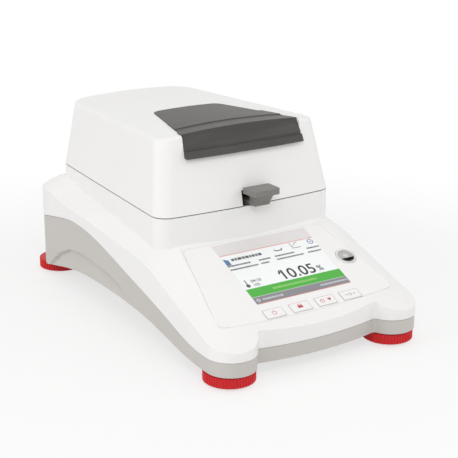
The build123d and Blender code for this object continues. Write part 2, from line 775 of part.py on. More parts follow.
def reflector():
    """Gold coated dish over the ring lamp, open in the middle for the view inside."""
    low = GLASS_Z + GLASS_T + LINER_T
    top = low + REFLECTOR_H
    waist_r = LINER_HOLE_R - REFLECTOR_BULGE
    waist_z = top - REFLECTOR_BULGE
    loop = [
        Line((LINER_HOLE_R + LINER_T, low), (LINER_HOLE_R + LINER_T, low + REFLECTOR_T)),
        Line((LINER_HOLE_R + LINER_T, low + REFLECTOR_T), (LINER_HOLE_R, low + REFLECTOR_T)),
        ThreePointArc((LINER_HOLE_R, low + REFLECTOR_T), (waist_r, waist_z), (REFLECTOR_TOP_R, top)),
        Line((REFLECTOR_TOP_R, top), (REFLECTOR_TOP_R, top - REFLECTOR_T)),
        ThreePointArc(
            (REFLECTOR_TOP_R, top - REFLECTOR_T),
            (waist_r - REFLECTOR_T, waist_z - REFLECTOR_T),
            (LINER_HOLE_R - REFLECTOR_T, low),
        ),
        Line((LINER_HOLE_R - REFLECTOR_T, low), (LINER_HOLE_R + LINER_T, low)),
    ]
    dish = revolve(Plane.XZ * make_face(loop), Axis.Z)
    return Pos(0, CHAMBER_Y) * dish - clip_rods()


def clip_rods():
    """The two rods of the lamp holders, from the lamp to above the reflector."""
    top = GLASS_Z + GLASS_T + LINER_T + REFLECTOR_H + WALL
    rods = [rod(HOLDER_R, LAMP_Z, top, side * LAMP_RING_R, CHAMBER_Y) for side in (-1, 1)]
    return rods[0] + rods[1]


def lamp_ring():
    """Ring shaped tube of the halogen lamp."""
    return Pos(0, CHAMBER_Y, LAMP_Z) * Torus(LAMP_RING_R, LAMP_TUBE_R)


def lamp_holders():
    """Two ceramic clips that hang the lamp from the reflector."""
    return clip_rods() - lamp_ring()


def protective_glass():
    """Round glass under the lamp, bored for the temperature sensor."""
    return ring(GLASS_R, SENSOR_R + 2 * WALL, GLASS_Z, GLASS_Z + GLASS_T)


def glass_retainer():
    """Screwed ring that holds the glass up against the liner."""
    body = ring(GLASS_R + 3 * WALL, RETAINER_IN_R, GLASS_Z - RETAINER_T, GLASS_Z)
    rim = ring(GLASS_R + 3 * WALL, GLASS_R + PANEL_FIT, GLASS_Z, GLASS_Z + GLASS_T)
    return body + rim


def temperature_sensor():
    """Thin probe through the middle of the glass."""
    low = GLASS_Z - RETAINER_T
    probe = rod(SENSOR_R, low, GLASS_Z + GLASS_T + LINER_T + REFLECTOR_H + WALL, 0, CHAMBER_Y)
    flange = rod(SENSOR_R + 2 * WALL, GLASS_Z, GLASS_Z + GLASS_T, 0, CHAMBER_Y)
    return probe + flange


def load_cell():
    """Bending beam with the double hole that makes its thin flexures."""
    body = brick(CELL_W, CELL_L, CELL_H, 0, CHAMBER_Y + CELL_L / 2 - CELL_W / 2, CELL_Z)
    middle_y = CHAMBER_Y + CELL_L / 2 - CELL_W / 2
    middle_z = CELL_Z + CELL_H / 2
    for side in (-1, 1):
        hole = Cylinder(CELL_SLOT_R, 2 * CELL_W)
        body -= Pos(0, middle_y + side * CELL_SLOT_SPREAD * CELL_SLOT_R, middle_z) * Rot(0, 90, 0) * hole
    body -= Pos(0, middle_y, middle_z) * Box(2 * CELL_W, 2 * CELL_SLOT_SPREAD * CELL_SLOT_R, CELL_SLOT_R)
    return body


def cell_bracket():
    """Block that carries the fixed end of the load cell, standing on the floor of the tray."""
    y = CHAMBER_Y + CELL_L - CELL_W / 2 - BRACKET_L / 2
    block = brick(CELL_W + 4 * WALL, BRACKET_L, CELL_Z, 0, y, 0)
    return block - side_prism(UNDERSIDE_CURVE, UNDERSIDE_Z, 0.0, FLOOR_T)


def board_posts():
    """Standoffs under the main board and the power supply board."""
    main_posts = [(side * BOARD_POST_X, y) for side in (-1, 1) for y in BOARD_POST_Y]
    power_posts = [(side * POWER_POST_X, y) for side in (-1, 1) for y in POWER_POST_Y]
    return main_posts + power_posts


def bare_board(post_x, post_y):
    """A circuit board that covers its four standoffs by a margin."""
    width = 2 * (post_x + BOARD_MARGIN)
    length = post_y[1] - post_y[0] + 2 * BOARD_MARGIN
    return brick(width, length, BOARD_T, 0, (post_y[0] + post_y[1]) / 2, BOARD_Z)


def main_board():
    """Main circuit board with its processor, a pin header and three capacitors."""
    top = BOARD_Z + BOARD_T
    board = bare_board(BOARD_POST_X, BOARD_POST_Y)
    for block in (PROCESSOR, PIN_HEADER):
        board += brick(*block, top)
    for x in CAPACITOR_X:
        board += rod(CAPACITOR_R, top, top + CAPACITOR_H, x, CAPACITOR_Y)
    return board


def power_board():
    """Supply board with its transformer, a coil and a finned heat sink."""
    top = BOARD_Z + BOARD_T
    middle = (POWER_POST_Y[0] + POWER_POST_Y[1]) / 2
    board = bare_board(POWER_POST_X, POWER_POST_Y)
    board += brick(*TRANSFORMER, middle, top)
    board += rod(COIL_R, top, top + COIL_H, 0, middle)
    board += brick(*HEAT_SINK, middle, top)
    for x in FIN_X:
        board += brick(FIN_T, HEAT_SINK[1], FIN_H, x, middle, top)
    return board


def connector_holes():
    """Openings in the rear wall for the three connectors."""
    cuts = []
    for x, width, height in (INLET, USB, SERIAL):
        cuts.append(brick(width, 4 * WALL, height, x, REAR_WALL_Y, CONNECTOR_Z - height / 2))
    return cuts


def connector(place, depth):
    """A panel connector: flange outside the rear wall, hollow body through the opening."""
    x, width, height = place
    wall_y = REAR_WALL_Y - SPLIT_STEP
    fit = 2 * PANEL_FIT
    low = CONNECTOR_Z - height / 2
    flange_y = wall_y + FLANGE_T / 2
    flange_low = low - FLANGE_EDGE / 2
    flange = brick(width + 2 * FLANGE_EDGE, FLANGE_T, height + FLANGE_EDGE, x, flange_y, flange_low)
    body = brick(width - fit, depth, height - fit, x, wall_y - depth / 2, low + PANEL_FIT)
    hollow = brick(
        width - 2 * SOCKET_WALL - fit,
        depth,
        height - 2 * SOCKET_WALL - fit,
        x,
        wall_y + FLANGE_T - depth / 2,
        low + SOCKET_WALL + PANEL_FIT,
    )
    return flange + body - hollow


def mains_inlet():
    """Mains inlet with its three flat contacts."""
    body = connector(INLET, INLET_D)
    length = INLET_D - 3 * WALL
    for i in (-1, 0, 1):
        x = INLET[0] + i * INLET_PIN_PITCH
        z = CONNECTOR_Z - INLET_PIN_W + (1 - abs(i)) * INLET_PIN_W
        pin_y = REAR_WALL_Y - SPLIT_STEP - INLET_D + length / 2 + FLANGE_T
        body += brick(INLET_PIN_W, length, 2 * INLET_PIN_W, x, pin_y, z)
    return body


def usb_port():
    """Square data socket with its inner tongue."""
    tongue_y = REAR_WALL_Y - SPLIT_STEP - USB_D / 2
    tongue = brick(USB[1] / 2, USB_D - FLANGE_T, USB[2] / 4, USB[0], tongue_y, CONNECTOR_Z - USB[2] / 8)
    return connector(USB, USB_D) + tongue


def serial_port():
    """Serial connector with two rows of pins on an insert."""
    insert_y = REAR_WALL_Y - SPLIT_STEP - SERIAL_D / 2 - FLANGE_T
    length = SERIAL_D - 2 * FLANGE_T
    low = CONNECTOR_Z - SERIAL_INSERT_H / 2
    insert = brick(SERIAL_INSERT_W, length, SERIAL_INSERT_H, SERIAL[0], insert_y, low)
    return connector(SERIAL, SERIAL_D) + insert


def hinge_rod(radius, length, x):
    """A cylinder on the hinge axis."""
    return Pos(x, HINGE_Y, HINGE_Z) * Rot(0, 90, 0) * Cylinder(radius, length)


def hinge_brackets():
    """Two pairs of lugs on the rear wall of the tower."""
    offset = KNUCKLE_W / 2 + LUG_GAP + LUG_W / 2
    low = HINGE_Z - HINGE_R
    lug_y = (HINGE_Y + TOWER_REAR_Y) / 2
    plate_y = TOWER_REAR_Y + BRACKET_PLATE_T / 2
    plate_w = KNUCKLE_W + 2 * (LUG_GAP + LUG_W)
    brackets = []
    for side in (-1, 1):
        lugs = []
        for way in (-1, 1):
            x = side * HINGE_X + way * offset
            lug = hinge_rod(HINGE_R, LUG_W, x)
            lug += brick(LUG_W, HINGE_Y - TOWER_REAR_Y, 2 * HINGE_R, x, lug_y, low)
            lugs.append(lug)
        plate = brick(plate_w, BRACKET_PLATE_T, 2 * HINGE_R - WALL, side * HINGE_X, plate_y, low)
        bracket = lugs[0] + lugs[1] + plate
        brackets.append(bracket - hinge_rod(HINGE_PIN_R, 2 * plate_w, side * HINGE_X))
    return brackets[0] + brackets[1]


def lid_knuckles():
    """Knuckles of the lid between the lugs, on arms from its rear wall."""
    knuckles = []
    for side in (-1, 1):
        x = side * HINGE_X
        low = SEAM_Z + SEAM_GAP
        neck = brick(KNUCKLE_W, 2 * HINGE_R, low + KNUCKLE_ARM_H - HINGE_Z, x, HINGE_Y, HINGE_Z)
        link = brick(KNUCKLE_W, 2 * HINGE_R, KNUCKLE_ARM_H, x, HINGE_Y - HINGE_R, low)
        knuckle = hinge_rod(HINGE_R, KNUCKLE_W, x) + neck + link
        knuckle -= hinge_rod(HINGE_PIN_R + HINGE_PIN_FIT, 2 * KNUCKLE_W, x)
        knuckles.append(knuckle - lid_block())
    return knuckles[0] + knuckles[1]


def hinge_pins():
    """The two pins that the lid turns on."""
    length = KNUCKLE_W + 2 * (LUG_GAP + LUG_W)
    return hinge_rod(HINGE_PIN_R, length, -HINGE_X) + hinge_rod(HINGE_PIN_R, length, HINGE_X)


def lid_seal():
    """Soft strip under the rim of the lid, open at the notch."""
    low = SEAM_Z + SEAL_GAP
    height = SEAM_GAP - SEAL_GAP
    strip = extrude(Pos(0, 0, low - SEAM_Z) * tower_outline(SEAL_INSET), height)
    strip -= extrude(Pos(0, 0, low - SEAM_Z) * tower_outline(SEAL_INSET + SEAL_W), height)
    return strip - notch()


def notch():
    """The opening in the front of the lid through which the handler leaves."""
    height = NOTCH_TOP_Z - SEAM_Z
    return brick(2 * NOTCH_HALF_W, 2 * GRIP_D, height, HANDLER_X, TOWER_FRONT_Y, SEAM_Z)


def housing_screws():
    """The four screws that clamp the two halves together."""
    screws = []
    for x, y in screw_places():
        shank = rod(SCREW_R, SCREW_SEAT_Z, SCREW_TOP_Z, x, y)
        screws.append(shank + rod(SCREW_HEAD_R, SCREW_SEAT_Z - SCREW_HEAD_H, SCREW_SEAT_Z, x, y))
    return Compound(children=screws)


def foot_wheel(x, y):
    """Hand wheel of a levelling foot."""
    top = WHEEL_BOTTOM_Z + WHEEL_T
    wheel = rod(WHEEL_R, WHEEL_BOTTOM_Z, top, x, y)
    wheel = chamfer(wheel.edges().filter_by(GeomType.CIRCLE), WHEEL_EDGE)
    return wheel - rod(STUD_R, WHEEL_BOTTOM_Z - WALL, top + WALL, x, y)


def foot_stud(x, y):
    """Stud that screws into the housing, bored below for the pin of the pad."""
    stud = rod(STUD_R, WHEEL_BOTTOM_Z, STUD_TOP_Z, x, y)
    stud = chamfer(stud.edges().sort_by(Axis.Z)[-1], WHEEL_EDGE)
    return stud - rod(PAD_PIN_R + STUD_FIT, 0, PAD_T + PAD_PIN_H + WHEEL_EDGE, x, y)


def foot_pad(x, y):
    """Round pad that stays still on the bench while its wheel turns."""
    return rod(PAD_R, 0, PAD_T, x, y) + rod(PAD_PIN_R, 0, PAD_T + PAD_PIN_H, x, y)


def save(name, shape):
    """Write one piece to its own STEP file."""
    shape.label = name
    export_step(shape, "parts/" + name + ".step")


def main():
    """Build every piece and save it."""
    os.makedirs("parts", exist_ok=True)
    save("lower_housing", lower_housing())
    save("upper_housing", upper_housing())
    save("control_panel_overlay", control_panel())
    save("display_glass", display_glass())
    save("display_module", display_module())
    for name, x in key_places().items():
        save(name, key(x))
    save("key_switch_board", key_switch_board())
    save("level_housing", level_housing())
    save("level_glass", level_glass())
    save("chamber_deck", chamber_deck())
    save("chamber_tray", chamber_tray())
    save("draft_shield", draft_shield())
    save("pan_support", pan_support())
    save("sample_pan", sample_pan())
    save("pan_handler", pan_handler())
    save("load_cell", load_cell())
    save("load_cell_bracket", cell_bracket())
    save("main_board", main_board())
    save("power_supply_board", power_board())
    save("mains_inlet", mains_inlet())
    save("usb_port", usb_port())
    save("serial_port", serial_port())
    save("housing_screws", housing_screws())
    save("hinge_brackets", hinge_brackets())
    save("lid_knuckles", lid_knuckles())
    save("hinge_pins", hinge_pins())
    save("lid_shell", lid_shell())
    save("lid_seal", lid_seal())
    save("lid_liner", lid_liner())
    save("viewing_window", viewing_window())
    save("reflector", reflector())
    save("halogen_ring_lamp", lamp_ring())
    save("lamp_holders", lamp_holders())
    save("protective_glass", protective_glass())
    save("glass_retaining_ring", glass_retainer())
    save("temperature_sensor", temperature_sensor())
    for name, (x, y) in foot_places().items():
        save("foot_wheel_" + name, foot_wheel(x, y))
        save("foot_stud_" + name, foot_stud(x, y))
        save("foot_pad_" + name, foot_pad(x, y))


main()
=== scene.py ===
"""Looks of the halogen moisture analyzer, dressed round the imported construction.

Everything is in metres and in the frame of the construction: the display faces -Y, +Z is up
and the origin lies on the bench under the middle of the instrument.
"""

import logging
import math
from dataclasses import dataclass, field
from enum import IntEnum
from typing import Callable, Iterable, Sequence

import bmesh
import bpy
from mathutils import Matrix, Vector
from mathutils.bvhtree import BVHTree
from mathutils.interpolate import poly_3d_calc


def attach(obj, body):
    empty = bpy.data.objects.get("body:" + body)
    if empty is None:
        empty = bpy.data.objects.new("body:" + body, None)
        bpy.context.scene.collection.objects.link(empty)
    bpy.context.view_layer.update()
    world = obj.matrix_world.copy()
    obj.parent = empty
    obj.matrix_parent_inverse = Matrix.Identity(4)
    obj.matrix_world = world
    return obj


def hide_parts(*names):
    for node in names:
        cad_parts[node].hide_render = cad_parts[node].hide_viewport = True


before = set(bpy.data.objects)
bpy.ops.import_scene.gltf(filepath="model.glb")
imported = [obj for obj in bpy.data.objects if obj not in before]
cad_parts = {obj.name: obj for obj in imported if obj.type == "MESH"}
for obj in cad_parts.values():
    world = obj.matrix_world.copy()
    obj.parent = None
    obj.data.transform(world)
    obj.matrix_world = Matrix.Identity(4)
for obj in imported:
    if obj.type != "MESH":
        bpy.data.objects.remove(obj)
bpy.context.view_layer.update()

MM = 0.001
LOG = logging.getLogger("moisture_analyzer")

Point = tuple[float, float, float]
Flat = tuple[float, float]
Node = bpy.types.Node
Tree = bpy.types.NodeTree
Socket = bpy.types.NodeSocket
Piece = bpy.types.Object
Mesh = bpy.types.Mesh

WHITE = "#FFFFFF"
# Edges sharper than this stay sharp, unless a piece says otherwise
SHARP_DEG = 35.0
# Points nearer than these become one: of a new piece, of a copied node, and at a dividing plane
MERGE_MM = 0.002
COPY_MERGE_MM = 0.004
CUT_MERGE_MM = 0.0005
# A point that went further than this has left the construction's surface
MOVED_MM = 0.005
# Height of a figure as a share of the font's size, and half the thickness of printed figures
FIGURE_SHARE = 0.7
FIGURE_MM = 0.02


class Axis(IntEnum):
    """The axis that a dividing plane stands across."""

    X = 0
    Y = 1
    Z = 2


def linear(hex_color: str) -> tuple[float, float, float, float]:
    """Turn an sRGB hex colour into the linear colour that a shader takes.

    Args:
        hex_color: Six hex digits, with or without a leading hash.

    Returns:
        Red, green, blue and an alpha of one.
    """
    digits = hex_color.lstrip("#")
    channels = [int(digits[i:i + 2], 16) / 255 for i in (0, 2, 4)]
    steps = [c / 12.92 if c <= 0.04045 else ((c + 0.055) / 1.055) ** 2.4 for c in channels]
    return (steps[0], steps[1], steps[2], 1.0)


def set_inputs(node: Node, values: dict) -> Node:
    """Set or link the inputs of a node.

    Args:
        node: The node.
        values: Values or output sockets by input name or number.

    Returns:
        The node.
    """
    for key, value in values.items():
        socket = node.inputs[key]
        if isinstance(value, Socket):
            node.id_data.links.new(value, socket)
        else:
            socket.default_value = value
    return node


def add_node(tree: Tree, kind: str, inputs: dict | None = None, **settings: str | float) -> Node:
    """Add a node to a tree.

    Args:
        tree: The shader or geometry tree.
        kind: Blender's name of the node type.
        inputs: Values or output sockets by input name or number.
        settings: Attributes of the node.

    Returns:
        The new node.
    """
    node = tree.nodes.new(kind)
    for name, value in settings.items():
        setattr(node, name, value)
    return set_inputs(node, inputs or {})


def empty_tree(owner: bpy.types.Material | bpy.types.World) -> Tree:
    """Give a material or a world an empty shader tree."""
    owner.use_nodes = True
    owner.node_tree.nodes.clear()
    return owner.node_tree


def placed(name: str, data: bpy.types.ID) -> Piece:
    """Put new data in the scene as an object at the origin."""
    piece = bpy.data.objects.new(name, data)
    bpy.context.scene.collection.objects.link(piece)
    return piece


def evaluated(piece: Piece) -> Mesh:
    """Work out the plain mesh of a text, or of a piece with its modifiers."""
    bpy.context.view_layer.update()
    graph = bpy.context.evaluated_depsgraph_get()
    return bpy.data.meshes.new_from_object(piece.evaluated_get(graph))


def pattern_scale(size_mm: float) -> float:
    """Scale of a pattern whose grains are size_mm across, on object coordinates in metres."""
    return 1.0 / (size_mm * MM)


def noise(place: Socket, size_mm: float, detail: float) -> Socket:
    """Spread a soft noise, with grains of size_mm, over a place."""
    settings = {"Vector": place, "Scale": pattern_scale(size_mm), "Detail": detail}
    return add_node(place.id_data, "ShaderNodeTexNoise", settings).outputs["Fac"]


@dataclass(frozen=True)
class Finish:
    """A finish of a real material: its name, its main colour and the darker tone beside it."""

    name: str
    color: str
    roughness: float = 0.5
    tone: str = ""

    def shade(self, shader: Node, place: Socket) -> None:
        """Add what sets this finish apart. A plain finish adds nothing.

        Args:
            shader: The principled shader.
            place: Object coordinates.
        """

    def paint(self, shader: Node, place: Socket, size_mm: float) -> None:
        """Let the colour change softly between the tone and the main colour.

        Args:
            shader: The principled shader.
            place: Coordinates of the pattern.
            size_mm: Size of the patches.
        """
        set_inputs(shader, {"Base Color": mottle(place, size_mm, self.tone, self.color)})

    def material(self) -> bpy.types.Material:
        """Build the material, or give back the one already built.

        Returns:
            The material, named for the real one.
        """
        known = bpy.data.materials.get(self.name)
        if known is not None and known.get("finish"):
            return known
        material = bpy.data.materials.new(self.name)
        material["finish"] = True
        tree = empty_tree(material)
        place = add_node(tree, "ShaderNodeTexCoord").outputs["Object"]
        shader = add_node(tree, "ShaderNodeBsdfPrincipled",
                          {"Base Color": linear(self.color), "Roughness": self.roughness})
        self.shade(shader, place)
        add_node(tree, "ShaderNodeOutputMaterial", {"Surface": shader.outputs["BSDF"]})
        return material


def mottle(place: Socket, size_mm: float, low: str, high: str) -> Socket:
    """Change softly between two tones of a colour.

    Args:
        place: Object coordinates.
        size_mm: Size of the patches.
        low: Hex colour of the darker tone.
        high: Hex colour of the lighter tone.

    Returns:
        The colour socket.
    """
    values = {0: noise(place, size_mm, 3.0), 6: linear(low), 7: linear(high)}
    return add_node(place.id_data, "ShaderNodeMix", values, data_type="RGBA").outputs[2]


def grain_bump(shader: Node, place: Socket, size_mm: float, depth_mm: float) -> None:
    """Give a shader the bump of a fine grain.

    Args:
        shader: The shader that takes the bump.
        place: Coordinates of the pattern.
        size_mm: Width of a grain.
        depth_mm: Height of a grain.
    """
    bump = add_node(shader.id_data, "ShaderNodeBump",
                    {"Height": noise(place, size_mm, 2.0), "Strength": 0.5, "Distance": depth_mm * MM})
    set_inputs(shader, {"Normal": bump.outputs["Normal"]})


@dataclass(frozen=True)
class MouldedPlastic(Finish):
    """Injection moulded plastic: a fine spark-eroded grain and a nearly even colour."""

    grain_mm: float = 0.9
    grain_depth_mm: float = 0.03
    patch_mm: float = 45.0

    def shade(self, shader: Node, place: Socket) -> None:
        """Add the grain and the slight change of tone."""
        self.paint(shader, place, self.patch_mm)
        grain_bump(shader, place, self.grain_mm, self.grain_depth_mm)


@dataclass(frozen=True)
class SmokedAcrylic(Finish):
    """Smoke tinted acrylic: smooth and nearly opaque, with faint streaks from the moulding."""

    streak_mm: float = 7.0
    stretch: Point = (0.08, 1.0, 1.0)
    mirror: float = 0.08
    coat: float = 0.01
    coat_roughness: float = 0.2

    def shade(self, shader: Node, place: Socket) -> None:
        """Add the streaks across the window and a weak coat, since the panes mirror little."""
        streaks = add_node(shader.id_data, "ShaderNodeMapping", {"Vector": place, "Scale": self.stretch})
        self.paint(shader, streaks.outputs["Vector"], self.streak_mm)
        set_inputs(shader, {"Specular IOR Level": self.mirror, "Coat Weight": self.coat,
                            "Coat Roughness": self.coat_roughness})


@dataclass(frozen=True)
class Metal(Finish):
    """Rolled or machined metal with brush marks along one axis."""

    stretch: Point = (1.0, 1.0, 1.0)
    mark_mm: float = 1.2
    mark_depth_mm: float = 0.01

    def shade(self, shader: Node, place: Socket) -> None:
        """Add the brush marks."""
        spread = add_node(shader.id_data, "ShaderNodeMapping", {"Vector": place, "Scale": self.stretch})
        marks = spread.outputs["Vector"]
        set_inputs(shader, {"Metallic": 1.0})
        self.paint(shader, marks, self.mark_mm)
        grain_bump(shader, marks, self.mark_mm, self.mark_depth_mm)


@dataclass(frozen=True)
class ClearGlass(Finish):
    """Clear glass or quartz."""

    weight: float = 0.9
    ior: float = 1.47
    wave_mm: float = 14.0
    wave_depth_mm: float = 0.02

    def shade(self, shader: Node, place: Socket) -> None:
        """Let light through, with a faint unevenness of the drawn surface."""
        set_inputs(shader, {"Transmission Weight": self.weight, "IOR": self.ior})
        grain_bump(shader, place, self.wave_mm, self.wave_depth_mm)


@dataclass(frozen=True)
class PrintedInk(Finish):
    """Screen printed ink or lit display colour, a little uneven as printed dots are."""

    glow: float = 0.0
    dot_mm: float = 0.5
    dot_depth_mm: float = 0.004

    def shade(self, shader: Node, place: Socket) -> None:
        """Add the unevenness, and the glow of a lit display."""
        grain_bump(shader, place, self.dot_mm, self.dot_depth_mm)
        if self.glow:
            set_inputs(shader, {"Emission Color": linear(self.color), "Emission Strength": self.glow})


@dataclass(frozen=True)
class CircuitBoard(Finish):
    """Green solder mask with its copper tracks showing through."""

    track: str = "#2E7A4B"
    pitch_mm: float = 2.54
    cell: float = 4.0
    track_share: float = 0.03
    row_offset: float = 0.35
    grain_mm: float = 0.8
    grain_depth_mm: float = 0.01

    def shade(self, shader: Node, place: Socket) -> None:
        """Draw tracks on the pitch of the connectors."""
        board = linear(self.color)
        tracks = add_node(shader.id_data, "ShaderNodeTexBrick",
                          {"Vector": place, "Scale": pattern_scale(self.pitch_mm * self.cell),
                           "Color1": board, "Color2": board, "Mortar": linear(self.track),
                           "Mortar Size": self.track_share}, offset=self.row_offset)
        set_inputs(shader, {"Base Color": tracks.outputs["Color"]})
        grain_bump(shader, place, self.grain_mm, self.grain_depth_mm)


# White ABS of the upper housing and the lid: satin, very light and slightly warm
WHITE_ABS = MouldedPlastic("white_abs", "#F5F4F3", 0.42, tone="#F2F1F0")
# Warm grey ABS of the lower housing: the same grain, a little rougher
GREY_ABS = MouldedPlastic("warm_grey_abs", "#CAC6C1", 0.5, tone="#C6C2BD")
# Polyester film over the control panel: white, smoother than the housing
PANEL_FILM = MouldedPlastic("polyester_film", "#F6F5F4", 0.36, tone="#F4F3F2", grain_mm=0.6,
                            grain_depth_mm=0.01)
# Key caps in the same film, a little rougher where fingers press
KEY_FILM = MouldedPlastic("key_film", "#F6F5F4", 0.4, tone="#F4F3F2", grain_mm=0.6, grain_depth_mm=0.012)
# Heat resistant grey plastic, matt: mid grey for the handler, dark for the chamber, light for the hinge
HANDLER_PLASTIC = MouldedPlastic("grey_polyamide", "#827F7B", 0.5, tone="#7B7874", grain_mm=0.8)
CHAMBER_PLASTIC = MouldedPlastic("dark_grey_polyamide", "#6A6967", 0.6, tone="#626160")
HINGE_PLASTIC = MouldedPlastic("hinge_polyamide", "#8E8B87", 0.55, tone="#888581")
# Red moulded plastic of the hand wheels: satin and deep in colour
RED_PLASTIC = MouldedPlastic("red_polyamide", "#D6121B", 0.5, tone="#CA0F18", grain_mm=0.7, patch_mm=9.0)
# Black plastic of the inlet and the display module: dark satin
BLACK_PLASTIC = MouldedPlastic("black_polyamide", "#1B1B1C", 0.45, tone="#141415")
# Smoke tinted acrylic of the viewing window: dark warm grey, hardly mirroring
SMOKED_WINDOW = SmokedAcrylic("smoked_acrylic", "#5E5B59", 0.34, tone="#454341", streak_mm=5.0)
# Stainless steel, rolled and pressed: bright with fine marks along x
STEEL = Metal("pressed_stainless_steel", "#B9B8B5", 0.28, tone="#A9A8A5", stretch=(0.05, 1.0, 1.0))
# Aluminium, machined: pale and satin
ALUMINIUM = Metal("satin_aluminium", "#D0D1D2", 0.38, tone="#C3C4C5", stretch=(0.1, 1.0, 1.0))
# Thin deep drawn aluminium of the sample pan: bright, with broad soft dents
PAN_FOIL = Metal("drawn_aluminium", "#DEDFE0", 0.22, tone="#CFD0D1", mark_mm=6.0, mark_depth_mm=0.03)
# Gold coating of the reflector: nearly a mirror, warm yellow
GOLD = Metal("gold_coating", "#D9B25A", 0.14, tone="#CFA84F", mark_mm=9.0, mark_depth_mm=0.01)
# Nickel plate of the connector shells: warm grey metal
NICKEL = Metal("nickel_plate", "#BDBBB5", 0.3, tone="#AFADA7")
# Clear plate under the lamp, with a faint green cast, and the milky quartz tube of the lamp
CHAMBER_GLASS = ClearGlass("borosilicate_glass", "#EAF1EE", 0.04)
QUARTZ = ClearGlass("quartz_glass", "#F2F3F5", 0.08, weight=0.7)
# Glazed ceramic of the lamp clips: cream white and glossy
CERAMIC = MouldedPlastic("glazed_ceramic", "#E4DFD4", 0.25, tone="#DAD5CA", grain_mm=3.0)
# Silicone of the lid seal and rubber of the foot pads: dull and nearly black
SEAL = MouldedPlastic("silicone_seal", "#3A3938", 0.8, tone="#323130", grain_mm=0.5)
RUBBER = MouldedPlastic("nitrile_rubber", "#232323", 0.85, tone="#1C1C1C", grain_mm=0.5, grain_depth_mm=0.05)
# Lit colours of the display: flat and even, and one band of painted shade
SCREEN_WHITE = PrintedInk("display_white", "#F4F6F6", 0.3, glow=0.05)
# Painted shade: a flat pale grey band across the top of the display, standing in for the shade that the
# sunken bezel casts on the screen
SCREEN_PAINTED_SHADE = PrintedInk("display_painted_shade", "#E6E2E1", 0.35)
SCREEN_GREEN = PrintedInk("display_green", "#45AC35", 0.35, glow=0.06)
SCREEN_GREY = PrintedInk("display_grey", "#86858A", 0.35, glow=0.04)
SCREEN_RULE = PrintedInk("display_red_rule", "#D8604E", 0.35)
SCREEN_BLACK = PrintedInk("display_black", "#17181A", 0.35)
SCREEN_TEXT = PrintedInk("display_text_grey", "#5A5B60", 0.35)
SCREEN_PALE_TEXT = PrintedInk("display_pale_text", "#C9CBD0", 0.35)
SCREEN_LIME_TEXT = PrintedInk("display_lime_text", "#8FCB6A", 0.35)
SCREEN_BLUE = PrintedInk("display_blue", "#5D7FA8", 0.35)
# Inks printed on the keys: thin frames, and red and grey symbols
KEY_LINE = PrintedInk("key_outline_grey", "#BFA9A8", 0.4)
KEY_RED = PrintedInk("key_symbol_red", "#C4474A", 0.4)
KEY_GREY = PrintedInk("key_symbol_grey", "#9FA0A4", 0.4)
# The spirit level: pale liquid, its lit bubble, the shade under the rim, and the pale glossy ring
LEVEL_LIQUID = MouldedPlastic("level_spirit", "#C4C2BE", 0.1, tone="#AFADA9", grain_mm=6.0)
LEVEL_BUBBLE = MouldedPlastic("level_bubble", "#D9D8D5", 0.06, tone="#CFCECB", grain_mm=4.0)
LEVEL_SHADE = MouldedPlastic("level_shade", "#5C5A57", 0.2, tone="#4C4A47", grain_mm=4.0)
LEVEL_RING = MouldedPlastic("level_ring_plastic", "#E4E4E4", 0.3, tone="#DCDCDC", grain_mm=0.5)
# Green boards with paler tracks
SOLDER_MASK = CircuitBoard("solder_mask", "#14532F", 0.35)

# Nodes of the construction by finish; the keys and the feet follow from the names below
NODE_FINISHES: tuple[tuple[Finish, str], ...] = (
    (GREY_ABS, "lower_housing"),
    (WHITE_ABS, "upper_housing lid_shell"),
    (PANEL_FILM, "control_panel_overlay"),
    (SCREEN_WHITE, "display_glass"),
    (BLACK_PLASTIC, "display_module mains_inlet"),
    (SOLDER_MASK, "key_switch_board main_board power_supply_board"),
    (LEVEL_RING, "level_housing"),
    (LEVEL_LIQUID, "level_glass"),
    (CHAMBER_PLASTIC, "chamber_deck lid_liner"),
    (STEEL, "chamber_tray draft_shield housing_screws hinge_pins glass_retaining_ring temperature_sensor"),
    (ALUMINIUM, "pan_support load_cell load_cell_bracket"),
    (PAN_FOIL, "sample_pan"),
    (HANDLER_PLASTIC, "pan_handler"),
    (NICKEL, "usb_port serial_port"),
    (HINGE_PLASTIC, "hinge_brackets lid_knuckles"),
    (SEAL, "lid_seal"),
    (SMOKED_WINDOW, "viewing_window"),
    (GOLD, "reflector"),
    (QUARTZ, "halogen_ring_lamp"),
    (CERAMIC, "lamp_holders"),
    (CHAMBER_GLASS, "protective_glass"),
)
KEY_NODES = ("power_key", "print_key", "start_stop_key", "zero_key")
FOOT_NAMES = ("front_left", "front_right", "rear_left", "rear_right")


def dress_nodes() -> None:
    """Give every node of the construction the finish of its real material."""
    finishes = {name: finish for finish, names in NODE_FINISHES for name in names.split()}
    finishes.update({name: KEY_FILM for name in KEY_NODES})
    for part, finish in (("wheel", RED_PLASTIC), ("stud", STEEL), ("pad", RUBBER)):
        finishes.update({f"foot_{part}_{foot}": finish for foot in FOOT_NAMES})
    for name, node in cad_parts.items():
        node.data.materials.clear()
        node.data.materials.append(finishes[name].material())
    LOG.info("dressed %d nodes", len(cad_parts))


def mesh_object(name: str, points: Sequence[Point], faces: Sequence[Sequence[int]],
                finish: Finish, smooth_deg: float = SHARP_DEG) -> Piece:
    """Make a piece from points in millimetres.

    Args:
        name: Name of the piece.
        points: Corners in millimetres.
        faces: Corner numbers of each face.
        finish: The finish of the piece.
        smooth_deg: Edges sharper than this stay sharp.

    Returns:
        The new object, at the origin.
    """
    mesh = bpy.data.meshes.new(name)
    mesh.from_pydata([Vector(p) * MM for p in points], [], faces)
    mesh.validate()
    return finish_mesh(name, mesh, finish, smooth_deg)


